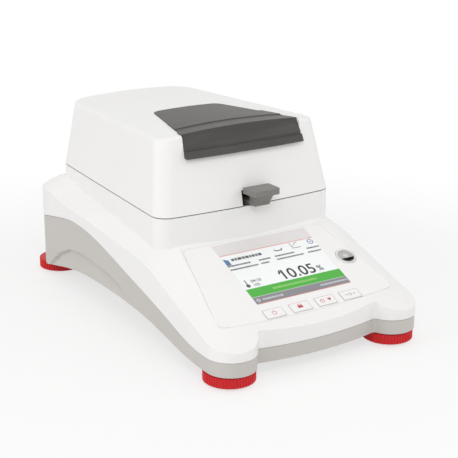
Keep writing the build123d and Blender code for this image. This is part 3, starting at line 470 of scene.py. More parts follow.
def finish_mesh(name: str, mesh: Mesh, finish: Finish, smooth_deg: float = SHARP_DEG) -> Piece:
    """Close, orient and shade a mesh, and put it in the scene with its finish.

    Args:
        name: Name of the piece.
        mesh: The mesh, in metres.
        finish: The finish of the piece.
        smooth_deg: Edges sharper than this stay sharp.

    Returns:
        The new object.
    """
    work = bmesh.new()
    work.from_mesh(mesh)
    bmesh.ops.remove_doubles(work, verts=work.verts, dist=MERGE_MM * MM)
    bmesh.ops.recalc_face_normals(work, faces=work.faces)
    work.to_mesh(mesh)
    work.free()
    mesh.shade_smooth()
    mesh.set_sharp_from_angle(angle=math.radians(smooth_deg))
    mesh.materials.clear()
    mesh.materials.append(finish.material())
    LOG.info("made %s, %d faces", name, len(mesh.polygons))
    return placed(name, mesh)


@dataclass(frozen=True)
class PanelPlane:
    """The sloping control panel: a place is x across, s up the slope and h off its surface."""

    origin: Point = (0.0, -157.5, 41.6)
    rise: float = 0.435

    def at(self, x: float, s: float, h: float = 0.0) -> Point:
        """Turn a place on the panel into a point.

        Args:
            x: Place across the panel.
            s: Place up the slope.
            h: Height off the surface.

        Returns:
            The point in millimetres.
        """
        length = math.hypot(1.0, self.rise)
        y = self.origin[1] + (s - self.rise * h) / length
        z = self.origin[2] + (self.rise * s + h) / length
        return (self.origin[0] + x, y, z)


PANEL = PanelPlane()


@dataclass
class Shapes:
    """A mesh in the making: flat plates on the panel between two heights, gathered into one object."""

    low: float
    high: float
    points: list[Point] = field(default_factory=list)
    faces: list[list[int]] = field(default_factory=list)

    def plate(self, outline: Sequence[Flat]) -> "Shapes":
        """Add a flat plate.

        Args:
            outline: Its corners as places on the panel, x and s.

        Returns:
            This mesh, so that calls can follow each other.
        """
        start = len(self.points)
        count = len(outline)
        for height in (self.low, self.high):
            self.points += [PANEL.at(x, s, height) for x, s in outline]
        self.faces.append([start + i for i in reversed(range(count))])
        self.faces.append([start + count + i for i in range(count)])
        for i in range(count):
            j = (i + 1) % count
            self.faces.append([start + i, start + j, start + count + j, start + count + i])
        return self

    def frame(self, outer: Sequence[Flat], inner: Sequence[Flat]) -> "Shapes":
        """Add a closed band between two outlines with the same number of corners.

        Args:
            outer: The outline outside.
            inner: The outline inside.

        Returns:
            This mesh.
        """
        start = len(self.points)
        count = len(outer)
        corners = ((outer, self.low), (outer, self.high), (inner, self.high), (inner, self.low))
        for loop, height in corners:
            self.points += [PANEL.at(x, s, height) for x, s in loop]
        for ring in range(4):
            for i in range(count):
                j = (i + 1) % count
                a, b = start + ring * count, start + (ring + 1) % 4 * count
                self.faces.append([a + i, a + j, b + j, b + i])
        return self

    def piece(self, name: str, finish: Finish) -> Piece:
        """Make the gathered shapes one object with a finish."""
        return mesh_object(name, self.points, self.faces, finish)


def box_outline(x: float, s: float, width: float, height: float) -> list[Flat]:
    """Corners of an upright rectangle about a centre."""
    corners = ((-1, -1), (1, -1), (1, 1), (-1, 1))
    return [(x + dx * width / 2, s + ds * height / 2) for dx, ds in corners]


def round_outline(x: float, s: float, width: float, height: float, corner: float,
                  steps: int = 4) -> list[Flat]:
    """Corners of a rectangle about a centre, rounded in steps to the corner's radius."""
    outline = []
    for turn, (dx, ds) in enumerate(((1, -1), (1, 1), (-1, 1), (-1, -1))):
        cx = x + dx * (width / 2 - corner)
        cs = s + ds * (height / 2 - corner)
        for i in range(steps + 1):
            angle = math.radians(-90 + 90 * (turn + i / steps))
            outline.append((cx + corner * math.cos(angle), cs + corner * math.sin(angle)))
    return outline


def arc(x: float, s: float, radius: float, angles: Iterable[float]) -> list[Flat]:
    """Points on a circle about a centre, angles in radians."""
    return [(x + radius * math.cos(a), s + radius * math.sin(a)) for a in angles]


def arc_band(x: float, s: float, radius: float, width: float, start: float = 0.0, end: float = 359.0,
             steps: int = 24) -> list[Flat]:
    """Outline of a part of a ring.

    Args:
        x: Place of its centre across the panel.
        s: Place of its centre up the slope.
        radius: Radius of its middle line.
        width: Width of the line.
        start: First angle in degrees from +x.
        end: Last angle in degrees.
        steps: Facets along the line.

    Returns:
        The corners, out along one side and back along the other.
    """
    angles = [math.radians(start + (end - start) * i / steps) for i in range(steps + 1)]
    return arc(x, s, radius + width / 2, angles) + arc(x, s, radius - width / 2, angles)[::-1]


def bar(x0: float, x1: float, s0: float, s1: float) -> list[Flat]:
    """Corners of an upright bar between two places."""
    return [(x0, s0), (x1, s0), (x1, s1), (x0, s1)]


def inked(name: str, finish: Finish, low: float, high: float, *outlines: Sequence[Flat]) -> Piece:
    """Make one flat piece of several outlines.

    Args:
        name: Name of the piece.
        finish: Its ink or lit colour.
        low: Height of the underside off the panel.
        high: Height of the top.
        outlines: Corners of each flat plate.

    Returns:
        The piece.
    """
    shapes = Shapes(low, high)
    for outline in outlines:
        shapes.plate(outline)
    return shapes.piece(name, finish)


def panel_text(name: str, words: str, x: float, s: float, height: float, finish: Finish,
               proud: float, squeeze: float = 1.0, bold: float = 0.0) -> Piece:
    """Lay plain figures on the panel.

    Args:
        name: Name of the piece.
        words: The figures.
        x: Left end of the figures.
        s: Their baseline.
        height: Height of a figure in millimetres.
        finish: Ink or lit colour.
        proud: Height off the panel.
        squeeze: Width as a share of the letter's own.
        bold: How far the strokes are thickened on each side, in millimetres.

    Returns:
        The piece, as a mesh.
    """
    curve = bpy.data.curves.new(name + "_curve", "FONT")
    curve.body = words
    curve.size = height / FIGURE_SHARE * MM
    curve.extrude = FIGURE_MM * MM
    curve.offset = bold * MM
    holder = placed(name + "_curve", curve)
    mesh = evaluated(holder)
    bpy.data.objects.remove(holder)
    for vertex in mesh.vertices:
        flat = vertex.co / MM
        vertex.co = Vector(PANEL.at(x + flat.x * squeeze, s + flat.y, proud + flat.z)) * MM
    return finish_mesh(name, mesh, finish)


def background_rays(tree: Tree) -> Socket:
    """Pick out the rays that see the white background: straight, through glass or mirrored.

    Args:
        tree: The tree of the world or of the floor's material.

    Returns:
        A socket that is 1 for camera, transmission and glossy rays, and else 0.
    """
    path = add_node(tree, "ShaderNodeLightPath").outputs
    straight = add_node(tree, "ShaderNodeMath", {0: path["Is Camera Ray"], 1: path["Is Transmission Ray"]},
                        operation="MAXIMUM")
    every = add_node(tree, "ShaderNodeMath", {0: straight.outputs[0], 1: path["Is Glossy Ray"]},
                     operation="MAXIMUM")
    return every.outputs[0]


@dataclass(frozen=True)
class Lamp:
    """A square soft light: where it hangs, its side in millimetres and its power in watts."""

    name: str
    place: Point
    side: float
    power: float


@dataclass
class Studio:
    """Floor, camera and soft lights, in millimetres and degrees."""

    azimuth: float = -32.72
    elevation: float = 17.57
    distance: float = 1123.66
    target: Point = (0.0, -7.5, 80.0)
    focal_px: float = 1263.91
    frame_px: float = 458.0
    middle: Flat = (213.67, 218.70)
    sensor: float = 36.0
    view_end_m: float = 20.0
    floor_size: float = 6000.0
    floor_cells: int = 12
    floor_z: float = -0.05
    floor_patch: float = 700.0
    near: float = 230.0
    away: float = 520.0
    lift: float = 0.68
    room_light: float = 0.49
    lamps: tuple[Lamp, ...] = (
        Lamp("key_light", (-900.0, -1500.0, 1700.0), 1100.0, 15.4),
        Lamp("side_light", (-1900.0, 200.0, 900.0), 1200.0, 9.6),
        Lamp("fill_light", (1500.0, -900.0, 1000.0), 1300.0, 7.2),
        Lamp("top_light", (200.0, 300.0, 1900.0), 1400.0, 3.5),
    )

    def floor_material(self) -> bpy.types.Material:
        """Pale near the object, where its shadow shows, and as white as the background far off."""
        material = bpy.data.materials.new("pale_floor")
        tree = empty_tree(material)
        place = add_node(tree, "ShaderNodeTexCoord").outputs["Object"]
        color = mottle(place, self.floor_patch, "#F3F3F2", "#F6F6F5")
        lit = add_node(tree, "ShaderNodeBsdfDiffuse", {"Color": color})
        white = add_node(tree, "ShaderNodeEmission", {"Color": linear(WHITE), "Strength": 1.0})
        far = add_node(tree, "ShaderNodeVectorMath", {0: place}, operation="LENGTH")
        share = add_node(tree, "ShaderNodeMapRange",
                         {"Value": far.outputs["Value"], "From Min": self.near * MM,
                          "From Max": self.away * MM, "To Min": self.lift, "To Max": 1.0},
                         interpolation_type="SMOOTHSTEP")
        seen = add_node(tree, "ShaderNodeMath", {0: share.outputs["Result"], 1: background_rays(tree)},
                        operation="MULTIPLY")
        shader = add_node(tree, "ShaderNodeMixShader",
                          {0: seen.outputs[0], 1: lit.outputs["BSDF"], 2: white.outputs["Emission"]})
        add_node(tree, "ShaderNodeOutputMaterial", {"Surface": shader.outputs["Shader"]})
        return material

    def floor(self) -> None:
        """Lay a pale floor that keeps the shadow of the object and meets the white background."""
        cells, row = self.floor_cells, self.floor_cells + 1
        points = [(self.floor_size * (i / cells - 0.5), self.floor_size * (j / cells - 0.5), self.floor_z)
                  for j in range(row) for i in range(row)]
        faces = [[j * row + i, j * row + i + 1, (j + 1) * row + i + 1, (j + 1) * row + i]
                 for j in range(cells) for i in range(cells)]
        mesh = bpy.data.meshes.new("floor")
        mesh.from_pydata([Vector(p) * MM for p in points], [], faces)
        floor = placed("floor", mesh)
        mesh.materials.append(self.floor_material())

    def camera(self) -> None:
        """Stand the camera where the picture was taken from."""
        turn, tilt = math.radians(self.azimuth), math.radians(self.elevation)
        back = Vector((math.sin(turn) * math.cos(tilt), -math.cos(turn) * math.cos(tilt), math.sin(tilt)))
        data = bpy.data.cameras.new("camera")
        data.sensor_width = self.sensor
        data.lens = self.focal_px / self.frame_px * data.sensor_width
        data.shift_x = (self.frame_px / 2 - self.middle[0]) / self.frame_px
        data.shift_y = (self.middle[1] - self.frame_px / 2) / self.frame_px
        data.clip_end = self.view_end_m
        camera = placed("camera", data)
        camera.location = (Vector(self.target) + back * self.distance) * MM
        camera.rotation_euler = (-back).to_track_quat("-Z", "Y").to_euler()
        bpy.context.scene.camera = camera

    def hang(self, lamp: Lamp) -> None:
        """Hang a lamp so that it shines at the object."""
        data = bpy.data.lights.new(lamp.name, "AREA")
        data.size = lamp.side * MM
        data.energy = lamp.power
        light = placed(lamp.name, data)
        light.location = Vector(lamp.place) * MM
        aim = Vector(self.target) - Vector(lamp.place)
        light.rotation_euler = aim.to_track_quat("-Z", "Y").to_euler()

    def world(self) -> None:
        """Fill the room with even light, and show white behind the object."""
        world = bpy.data.worlds.new("room")
        bpy.context.scene.world = world
        tree = empty_tree(world)
        room, white = (add_node(tree, "ShaderNodeBackground", {"Color": linear(WHITE), "Strength": light})
                       for light in (self.room_light, 1.0))
        mix = add_node(tree, "ShaderNodeMixShader",
                       {0: background_rays(tree), 1: room.outputs[0], 2: white.outputs[0]})
        add_node(tree, "ShaderNodeOutputWorld", {"Surface": mix.outputs[0]})

    def build(self) -> None:
        """Set up the floor, the camera and the lights."""
        self.floor()
        self.camera()
        self.world()
        for lamp in self.lamps:
            self.hang(lamp)
        bpy.context.scene.view_settings.view_transform = "Standard"


@dataclass
class Display:
    """What the lit display shows, all places across the panel and up its slope."""

    left: float = -42.4
    right: float = 52.4
    # Painted shade: where the pale band across the top of the display lies up the slope
    painted_shade_band: Flat = (82.2, 95.2)
    button: Flat = (29.8, 39.4)
    foot: Flat = (22.0, 29.5)
    rules: tuple[Flat, ...] = ((81.4, 82.0), (21.4, 21.9))
    skin: float = 0.03
    # Lines that stand for words: where each begins and ends, and its foot
    title: Point = (-34.8, -4.7, 73.7)
    rows: tuple[Point, ...] = ((-42.0, -19.3, 67.6), (-11.2, 0.5, 67.6), (-42.0, -14.0, 63.2),
                               (-11.3, -2.7, 63.4), (5.3, 25.8, 68.0), (5.1, 33.4, 64.0),
                               (39.2, 52.0, 69.2), (37.6, 52.0, 64.4))
    foot_rows: tuple[Point, ...] = ((-34.4, -14.4, 24.6), (23.8, 51.6, 24.9))
    button_row: Point = (-18.6, 25.7, 33.5)
    # Lengths of the blocks in a line, their gap and the shortest rest, by the height of the line or in mm
    blocks: tuple[float, ...] = (0.9, 0.7, 1.3, 0.8, 1.1, 0.6)
    gap: float = 0.28
    rest: float = 0.6
    # Outlines of the small symbols
    flag: tuple[Flat, ...] = ((-4.2, 48.6), (-3.7, 47.6), (-1.5, 49.6), (-1.5, 52.4), (-2.6, 52.4))
    folder: tuple[Flat, ...] = ((-42.0, 69.6), (-37.6, 69.6), (-37.6, 76.0), (-39.4, 76.0), (-40.0, 77.2),
                                (-42.0, 77.2))
    dish: tuple[Flat, ...] = ((9.6, 74.2), (16.2, 74.2), (17.4, 76.8), (16.2, 76.8), (15.5, 75.3),
                              (10.3, 75.3), (9.6, 76.8), (8.4, 76.8))
    curve_start: Flat = (28.4, 75.0)
    curve_step: float = 0.7
    curve_rise: float = 5.2
    curve_line: float = 0.6

    def bands(self) -> list[Piece]:
        """Lay the wide coloured bands, the band of painted shade at the top and the thin rules across the
        display.
        """
        low, high = self.skin * 0.5, self.skin
        looks = (("display_head_painted_shade", SCREEN_PAINTED_SHADE, (self.painted_shade_band,)),
                 ("display_green_band", SCREEN_GREEN, (self.button,)),
                 ("display_foot_band", SCREEN_GREY, (self.foot,)), ("display_rules", SCREEN_RULE, self.rules))
        return [inked(name, finish, low, high, *(bar(self.left, self.right, *span) for span in spans))
                for name, finish, spans in looks]

    def words(self, row: Point, height: float) -> list[list[Flat]]:
        """Cut a line into short blocks, as a line of words looks from afar.

        Args:
            row: Where the line begins and ends, and its foot.
            height: Height of the line.

        Returns:
            The outline of each block.
        """
        x, end, s = row
        outlines: list[list[Flat]] = []
        while x < end - self.rest:
            width = min(self.blocks[len(outlines) % len(self.blocks)] * height, end - x)
            outlines.append(bar(x, x + width, s, s + height))
            x += width + self.gap * height
        return outlines

    def lines(self) -> list[Piece]:
        """Lay rows of blocks where the display carries words."""
        looks = (("display_word_bars", SCREEN_TEXT, [(self.title, 2.9)] + [(row, 1.7) for row in self.rows]),
                 ("display_foot_bars", SCREEN_PALE_TEXT, [(row, 1.9) for row in self.foot_rows]),
                 ("display_button_bar", SCREEN_LIME_TEXT, [(self.button_row, 2.3)]))
        return [inked(name, finish, self.skin, self.skin * 2,
                      *(block for row, height in rows for block in self.words(row, height)))
                for name, finish, rows in looks]

    def figures(self) -> list[Piece]:
        """Lay the measured value and the small numbers beside the thermometer."""
        proud = self.skin * 1.5
        return [
            panel_text("display_value", "10.05", -4.2, 41.4, 11.2, SCREEN_BLACK, proud, 1.02, 0.14),
            inked("display_value_flag", SCREEN_BLACK, self.skin, self.skin * 2, self.flag),
            panel_text("display_unit", "%", 33.6, 42.2, 6.2, SCREEN_BLACK, proud, 0.9, 0.1),
            panel_text("display_time", "04:10", -32.8, 45.8, 3.2, SCREEN_BLACK, proud, 1.0, 0.03),
            panel_text("display_heat", "105", -32.8, 41.2, 3.0, SCREEN_TEXT, proud, 1.0, 0.03),
        ]

    def drying_curve(self) -> list[Flat]:
        """Outline of a line that rises and levels off."""
        x, s = self.curve_start
        rise = [(x + self.curve_step * i, s + self.curve_rise * (1 - math.exp(-i / 3.0))) for i in range(10)]
        half = self.curve_line / 2
        return [(x, s - half) for x, s in rise] + [(x, s + half) for x, s in rise[::-1]]

    def symbols(self) -> list[Piece]:
        """Lay neutral symbols: a folder, a dish, a drying curve, a dial, a thermometer and a ring."""
        axes = (bar(27.0, 27.6, 73.4, 80.6), bar(27.6, 35.4, 73.4, 74.0))
        dial = (arc_band(47.5, 77.2, 2.6, 0.8, steps=32), bar(46.2, 48.8, 76.8, 77.6))
        thermometer = (arc_band(-37.6, 43.0, 1.0, 1.9, steps=20), bar(-38.1, -37.1, 44.2, 50.0))
        looks = (("display_folder", SCREEN_BLUE, (self.folder,)), ("display_dish", SCREEN_TEXT, (self.dish,)),
                 ("display_curve", SCREEN_TEXT, (*axes, self.drying_curve())),
                 ("display_dial", SCREEN_BLUE, dial),
                 ("display_thermometer", SCREEN_TEXT, thermometer),
                 ("display_globe", SCREEN_PALE_TEXT, (arc_band(-38.6, 25.6, 1.3, 1.1),)))
        return [inked(name, finish, self.skin, self.skin * 2, *outlines) for name, finish, outlines in looks]

    def build(self) -> list[Piece]:
        """Make everything that the display shows."""
        return self.bands() + self.lines() + self.figures() + self.symbols()


@dataclass
class KeyFaces:
    """What is printed on the four keys: their outlines and plain symbols."""

    width: float = 19.2
    depth: float = 10.4
    row: float = 8.6
    pitch: float = 25.5
    middle: float = 4.3
    top: float = 0.4
    ink: float = 0.03
    margin: float = 0.5
    frame_line: float = 0.6
    line: float = 0.45
    ring: float = 1.9

    def outline(self, node: str, x: float) -> Piece:
        """Print the thin frame round the key of a node, whose middle is at x."""
        inner_margin = self.margin + self.frame_line
        outer = round_outline(x, self.row, self.width - self.margin, self.depth - self.margin, 1.0)
        inner = round_outline(x, self.row, self.width - inner_margin, self.depth - inner_margin, 0.7)
        return Shapes(self.top, self.top + self.ink).frame(outer, inner).piece(node + "_frame", KEY_LINE)

    def build(self) -> dict[str, list[Piece]]:
        """Print the keys.

        Returns:
            What is printed on each key, by its node.
        """
        centre = {name: self.middle + self.pitch * (i - 1.5) for i, name in enumerate(KEY_NODES)}
        s = self.row + 0.3
        power, sheet, start, zero = (Shapes(self.top, self.top + self.ink) for _ in KEY_NODES)
        x = centre["power_key"]
        power.plate(arc_band(x, s, self.ring, self.line, 120, 420))
        power.plate(box_outline(x, s + 1.6, self.line, 2.2))
        x = centre["print_key"]
        sheet.plate(box_outline(x, s - 0.3, 4.8, 2.6))
        sheet.frame(box_outline(x, s + 1.9, 3.2, 1.7), box_outline(x, s + 1.9, 2.4, 0.9))
        x = centre["start_stop_key"]
        start.plate(arc_band(x - 3.2, s, self.ring, 0.4))
        start.plate(box_outline(x - 3.2, s, 0.4, 2.2))
        start.plate([(x + 4.0, s - 1.8), (x + 6.0, s + 1.6), (x + 2.0, s + 1.6)])
        x = centre["zero_key"]
        zero.plate(arc_band(x, s, 1.35, self.line))
        for side in (-1, 1):
            zero.plate(box_outline(x + side * 4.4, s, 2.2, 0.4))
            tip = x + side * 2.6
            zero.plate([(tip, s), (tip + side * 1.3, s + 0.9), (tip + side * 1.3, s - 0.9)][::side])
        looks = zip(KEY_NODES, (power, sheet, start, zero), (KEY_RED, KEY_RED, KEY_RED, KEY_GREY))
        return {name: [self.outline(name, centre[name]), shape.piece(name + "_symbol", ink)]
                for name, shape, ink in looks}


def ribbed_rim_tree() -> Tree:
    """Build the geometry nodes that set ribs upright round a rim and join them to the piece.

    Returns:
        The tree, with the number of ribs and the sizes of the rim as inputs.
    """
    tree = bpy.data.node_groups.new("ribbed_rim", "GeometryNodeTree")
    sockets = (("Geometry", "Geometry"), ("Ribs", "Int"), ("Rim radius", "Float"), ("Rib radius", "Float"),
               ("Rib height", "Float"), ("Place", "Vector"), ("Material", "Material"))
    for name, kind in sockets:
        tree.interface.new_socket(name, in_out="INPUT", socket_type="NodeSocket" + kind)
    tree.interface.new_socket("Geometry", in_out="OUTPUT", socket_type="NodeSocketGeometry")
    given = add_node(tree, "NodeGroupInput").outputs
    rim = add_node(tree, "GeometryNodeMeshCircle",
                   {"Vertices": given["Ribs"], "Radius": given["Rim radius"]})
    rib = add_node(tree, "GeometryNodeMeshCylinder",
                   {"Vertices": 12, "Radius": given["Rib radius"], "Depth": given["Rib height"]})
    ribs = add_node(tree, "GeometryNodeInstanceOnPoints",
                    {"Points": rim.outputs["Mesh"], "Instance": rib.outputs["Mesh"]})
    placed = add_node(tree, "GeometryNodeTransform",
                      {"Geometry": ribs.outputs["Instances"], "Translation": given["Place"]})
    joined = add_node(tree, "GeometryNodeJoinGeometry")
    tree.links.new(given["Geometry"], joined.inputs[0])
    tree.links.new(placed.outputs["Geometry"], joined.inputs[0])
    real = add_node(tree, "GeometryNodeRealizeInstances", {"Geometry": joined.outputs["Geometry"]})
    dressed = add_node(tree, "GeometryNodeSetMaterial",
                       {"Geometry": real.outputs["Geometry"], "Material": given["Material"]})
    add_node(tree, "NodeGroupOutput", {"Geometry": dressed.outputs["Geometry"]})
    return tree


def apply_tree(piece: Piece, tree: Tree, values: dict) -> Piece:
    """Run a geometry nodes tree over a piece and keep the result as its mesh.

    Args:
        piece: The piece that the tree changes.
        tree: The tree.
        values: Values by input name.

    Returns:
        The piece, with a plain mesh.
    """
    modifier = piece.modifiers.new(tree.name, "NODES")
    modifier.node_group = tree
    for item in tree.interface.items_tree:
        if item.in_out == "INPUT" and item.name in values:
            modifier[item.identifier] = values[item.name]
    mesh = evaluated(piece)
    piece.modifiers.clear()
    piece.data = mesh
    return piece


def lathe(name: str, profile: Sequence[Flat], put: Callable[[float, float, float], Point], finish: Finish,
          steps: int = 96) -> Piece:
    """Turn a closed profile round an axis.

    Args:
        name: Name of the piece.
        profile: Corners as radius and height, in millimetres.
        put: Turns two offsets from the axis and a height into a point.
        finish: The finish of the piece.
        steps: Facets round the axis.

    Returns:
        The piece.
    """
    count = len(profile)
    points: list[Point] = []
    faces: list[list[int]] = []
    for i in range(steps):
        angle = 2 * math.pi * i / steps
        points += [put(r * math.cos(angle), r * math.sin(angle), height) for r, height in profile]
        a, b = i * count, (i + 1) % steps * count
        faces += [[a + k, b + k, b + (k + 1) % count, a + (k + 1) % count] for k in range(count)]
    return mesh_object(name, points, faces, finish)


def smooth_step(value: float, low: float, high: float) -> float:
    """Rise softly from nought at low to one at high."""
    t = min(1.0, max(0.0, (value - low) / (high - low)))
    return t * t * (3 - 2 * t)


def along(curve: Sequence[Flat], place: float) -> float:
    """Height of a polyline at a place, its points in rising order."""
    for (a, za), (b, zb) in zip(curve, curve[1:]):
        if place <= b:
            return za + (zb - za) * max(0.0, (place - a) / (b - a))
    return curve[-1][1]


def reshaped(node: str, name: str, cuts: Iterable[tuple[Axis, float]],
             chosen: Callable[[Vector, float], bool], moved: Callable[[Vector], Vector],
             finish: Finish, smooth_deg: float = 30.0) -> Piece:
    """Copy a node of the construction, divide the chosen faces finely and move their points.

    Args:
        node: The node.
        name: Name of the new piece.
        cuts: Axis and place in millimetres of each dividing plane.
        chosen: Tells from the middle of a face and the height of its lowest corner if it is divided.
        moved: New place of a point, in millimetres.
        finish: The finish of the piece.
        smooth_deg: Edges sharper than this stay sharp.

    Returns:
        The piece, which stands for the node.
    """
    work = bmesh.new()
    work.from_mesh(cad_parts[node].data)
    bmesh.ops.remove_doubles(work, verts=work.verts, dist=COPY_MERGE_MM * MM)
    for axis, place in cuts:
        normal = Vector([float(other == axis) for other in Axis])
        faces = [f for f in work.faces
                 if chosen(f.calc_center_median() / MM, min(v.co.z for v in f.verts) / MM)]
        edges = list({e for f in faces for e in f.edges})
        verts = list({v for f in faces for v in f.verts})
        bmesh.ops.bisect_plane(work, geom=faces + edges + verts, dist=CUT_MERGE_MM * MM,
                               plane_co=normal * place * MM, plane_no=normal)
    rest = work.verts.layers.float_vector.new("rest")
    for vertex in work.verts:
        vertex[rest] = vertex.co
        vertex.co = moved(vertex.co / MM) * MM
    mesh = bpy.data.meshes.new(name)
    work.to_mesh(mesh)
    work.free()
    piece = finish_mesh(name, mesh, finish, smooth_deg)
    keep_normals(piece.data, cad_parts[node].data)
    return piece


def keep_normals(mesh: Mesh, source: Mesh) -> None:
    """Give the faces that stayed in place the exact normals of the construction's surface.

    Args:
        mesh: The reshaped mesh, with the first place of each point in its attribute named rest.
        source: The mesh that it was copied from.
    """
    rest = [Vector(item.vector) for item in mesh.attributes["rest"].data]
    tree = BVHTree.FromPolygons([v.co for v in source.vertices], [p.vertices[:] for p in source.polygons])
    normals = [Vector(item.vector) for item in mesh.corner_normals]
    for face in mesh.polygons:
        if any((rest[v] - mesh.vertices[v].co).length > MOVED_MM * MM for v in face.vertices):
            continue
        middle = sum((rest[v] for v in face.vertices), Vector()) / len(face.vertices)
        for corner, v in zip(face.loop_indices, face.vertices):
            # A little inside the face, so that the nearest face is the one it came from
            near = tree.find_nearest(rest[v].lerp(middle, 0.03))[2]
            origin = source.polygons[near]
            weights = poly_3d_calc([source.vertices[i].co for i in origin.vertices], rest[v])
            given = [source.corner_normals[i].vector for i in origin.loop_indices]
            normals[corner] = sum((n * w for n, w in zip(given, weights)), Vector()).normalized()
    mesh.normals_split_custom_set(normals)
    mesh.attributes.remove(mesh.attributes["rest"])


@dataclass
class LowerHousing:
    """The grey housing with the concave scoop moulded into each side."""

    arch: tuple[Flat, ...] = ((-15.0, 36.6), (-0.8, 39.8), (25.1, 43.1), (55.9, 45.1), (86.4, 41.9),
                              (111.2, 31.1), (128.5, 17.4), (136.0, 8.0))
    lower_edge: tuple[Flat, ...] = ((-150.0, 12.0), (-72.0, 22.3), (22.0, 27.6), (79.0, 24.3), (140.0, 12.0))
    depth: float = 3.0
    edge: float = 1.4
    front: float = -15.0
    front_step: float = 0.4
    wall_x: float = 78.0
    reach: Flat = (-20.0, 142.0)
    high: float = 47.0
    # Distance and number of the dividing planes along and down the side
    along_step: float = 3.0
    along_cuts: int = 50
    down_step: float = 1.0
    down_cuts: int = 35

    def scoop(self, y: float, z: float) -> float:
        """Work out the depth of the scoop at a place on the side.

        Args:
            y: Place along the side.
            z: Height.

        Returns:
            The depth in millimetres, nought outside the scoop.
        """
        if y < self.front - self.edge or y > self.arch[-1][0]:
            return 0.0
        arch = along(self.arch, y)
        below = arch - z
        height = max(2 * self.edge, arch - along(self.lower_edge, y))
        inside = smooth_step(below, 0.0, self.edge) * (1 - smooth_step(below, self.edge, height))
        return self.depth * inside * smooth_step(y, self.front - self.front_step,
                                                         self.front + 2 * self.front_step)

    def on_side(self, middle: Vector, low: float) -> bool:
        """Tell from its middle and lowest corner if a face lies on a side wall, below the plain rim."""
        inside = self.reach[0] < middle.y < self.reach[1]
        return abs(middle.x) > self.wall_x and inside and low < self.high - 0.01

    def shape(self, place: Vector) -> Vector:
        """Move a point of the side wall into the scoop."""
        if abs(place.x) < self.wall_x:
            return place
        side = 1 if place.x > 0 else -1
        return Vector((place.x - side * self.scoop(place.y, place.z), place.y, place.z))

    def build(self) -> Piece:
        """Make the housing."""
        cuts = [(Axis.Z, self.high)]
        cuts += [(Axis.Y, self.front + self.front_step * i) for i in range(-1, 3)]
        cuts += [(Axis.Y, self.front + self.along_step * i) for i in range(1, self.along_cuts + 1)]
        cuts += [(Axis.Z, self.high - self.down_step * i) for i in range(1, self.down_cuts + 1)]
        piece = reshaped("lower_housing", "grey_housing", cuts, self.on_side, self.shape, GREY_ABS)
        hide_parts("lower_housing")
        return piece


@dataclass
class Window:
    """The tinted window, with a raised band between two creases across its top."""

    band: Flat = (-31.0, -11.0)
    ramp: float = 1.4
    sink: float = 0.8
    top_z: float = 165.0
    front_y: float = -44.0
    front_h: float = 12.0
    lean: float = 3.6
    lip_z: float = 160.0
    lip_h: float = 6.0
    lip_lean: float = 1.8
    reach_y: float = 35.0
    plain_cuts: tuple[float, ...] = (-45.0, -40.0, -25.0, -20.0, 0.0, 10.0, 20.0, 30.0)
    ramp_cuts: int = 4
    front_cuts: int = 18
    smooth_deg: float = 12.0

    def shape(self, place: Vector) -> Vector:
        """Lower the top on both sides of the raised band, and lean the front and its lip back."""
        if place.y < self.front_y:
            upper = self.lean * smooth_step(place.z, self.lip_z, self.lip_z + self.front_h)
            lip = self.lip_lean * max(0.0, self.lip_z - place.z) / self.lip_h
            place = Vector((place.x, place.y + upper - lip, place.z))
        if place.z < self.top_z:
            return place
        raised = smooth_step(place.y, self.band[0] - self.ramp, self.band[0])
        raised *= 1 - smooth_step(place.y, self.band[1], self.band[1] + self.ramp)
        return Vector((place.x, place.y, place.z - self.sink * (1 - raised)))

    def build(self) -> Piece:
        """Make the window."""
        cuts = []
        for edge in (self.band[0] - self.ramp, self.band[1]):
            cuts += [(Axis.Y, edge + self.ramp * i / self.ramp_cuts) for i in range(self.ramp_cuts + 1)]
        cuts += [(Axis.Y, y) for y in self.plain_cuts]
        cuts += [(Axis.Z, self.lip_z - self.lip_h + i) for i in range(1, self.front_cuts + 1)]
        piece = reshaped("viewing_window", "window", cuts, lambda middle, low: middle.y < self.reach_y,
                         self.shape, SMOKED_WINDOW, self.smooth_deg)
        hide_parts("viewing_window")
        return piece


@dataclass
class FootWheels:
    """The four red hand wheels with ribs round their rims."""

    places: tuple[Flat, ...] = ((-80.0, -154.5), (80.0, -154.5), (-72.0, 156.3), (72.0, 156.3))
    ribs: int = 52
    core_radius: float = 20.45
    rib_radius: float = 0.85
    bore: float = 4.05
    low: float = 1.8
    high: float = 11.0
    edge: float = 0.8
    sunk: float = 0.1
    smooth_deg: float = 40.0

    def build(self) -> dict[str, Piece]:
        """Make the wheels.

        Returns:
            The wheel of each foot.
        """
        tree = ribbed_rim_tree()
        rim = self.core_radius - self.sunk
        core, edge = self.core_radius, self.edge
        profile = [(self.bore, self.low), (core - edge, self.low), (core, self.low + edge),
                   (core, self.high - edge), (core - edge, self.high), (self.bore, self.high)]
        values = {"Ribs": self.ribs, "Rim radius": rim * MM, "Rib radius": self.rib_radius * MM,
                  "Rib height": (self.high - self.low - self.edge) * MM, "Material": RED_PLASTIC.material()}
        wheels = {}
        for foot, (x, y) in zip(FOOT_NAMES, self.places):
            wheel = lathe("wheel_" + foot, profile, lambda dx, dy, z, x=x, y=y: (x + dx, y + dy, z),
                          RED_PLASTIC)
            values["Place"] = Vector((x, y, (self.low + self.high) / 2)) * MM
            wheels[foot] = apply_tree(wheel, tree, values)
            wheels[foot].data.set_sharp_from_angle(angle=math.radians(self.smooth_deg))
            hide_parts("foot_wheel_" + foot)
        return wheels


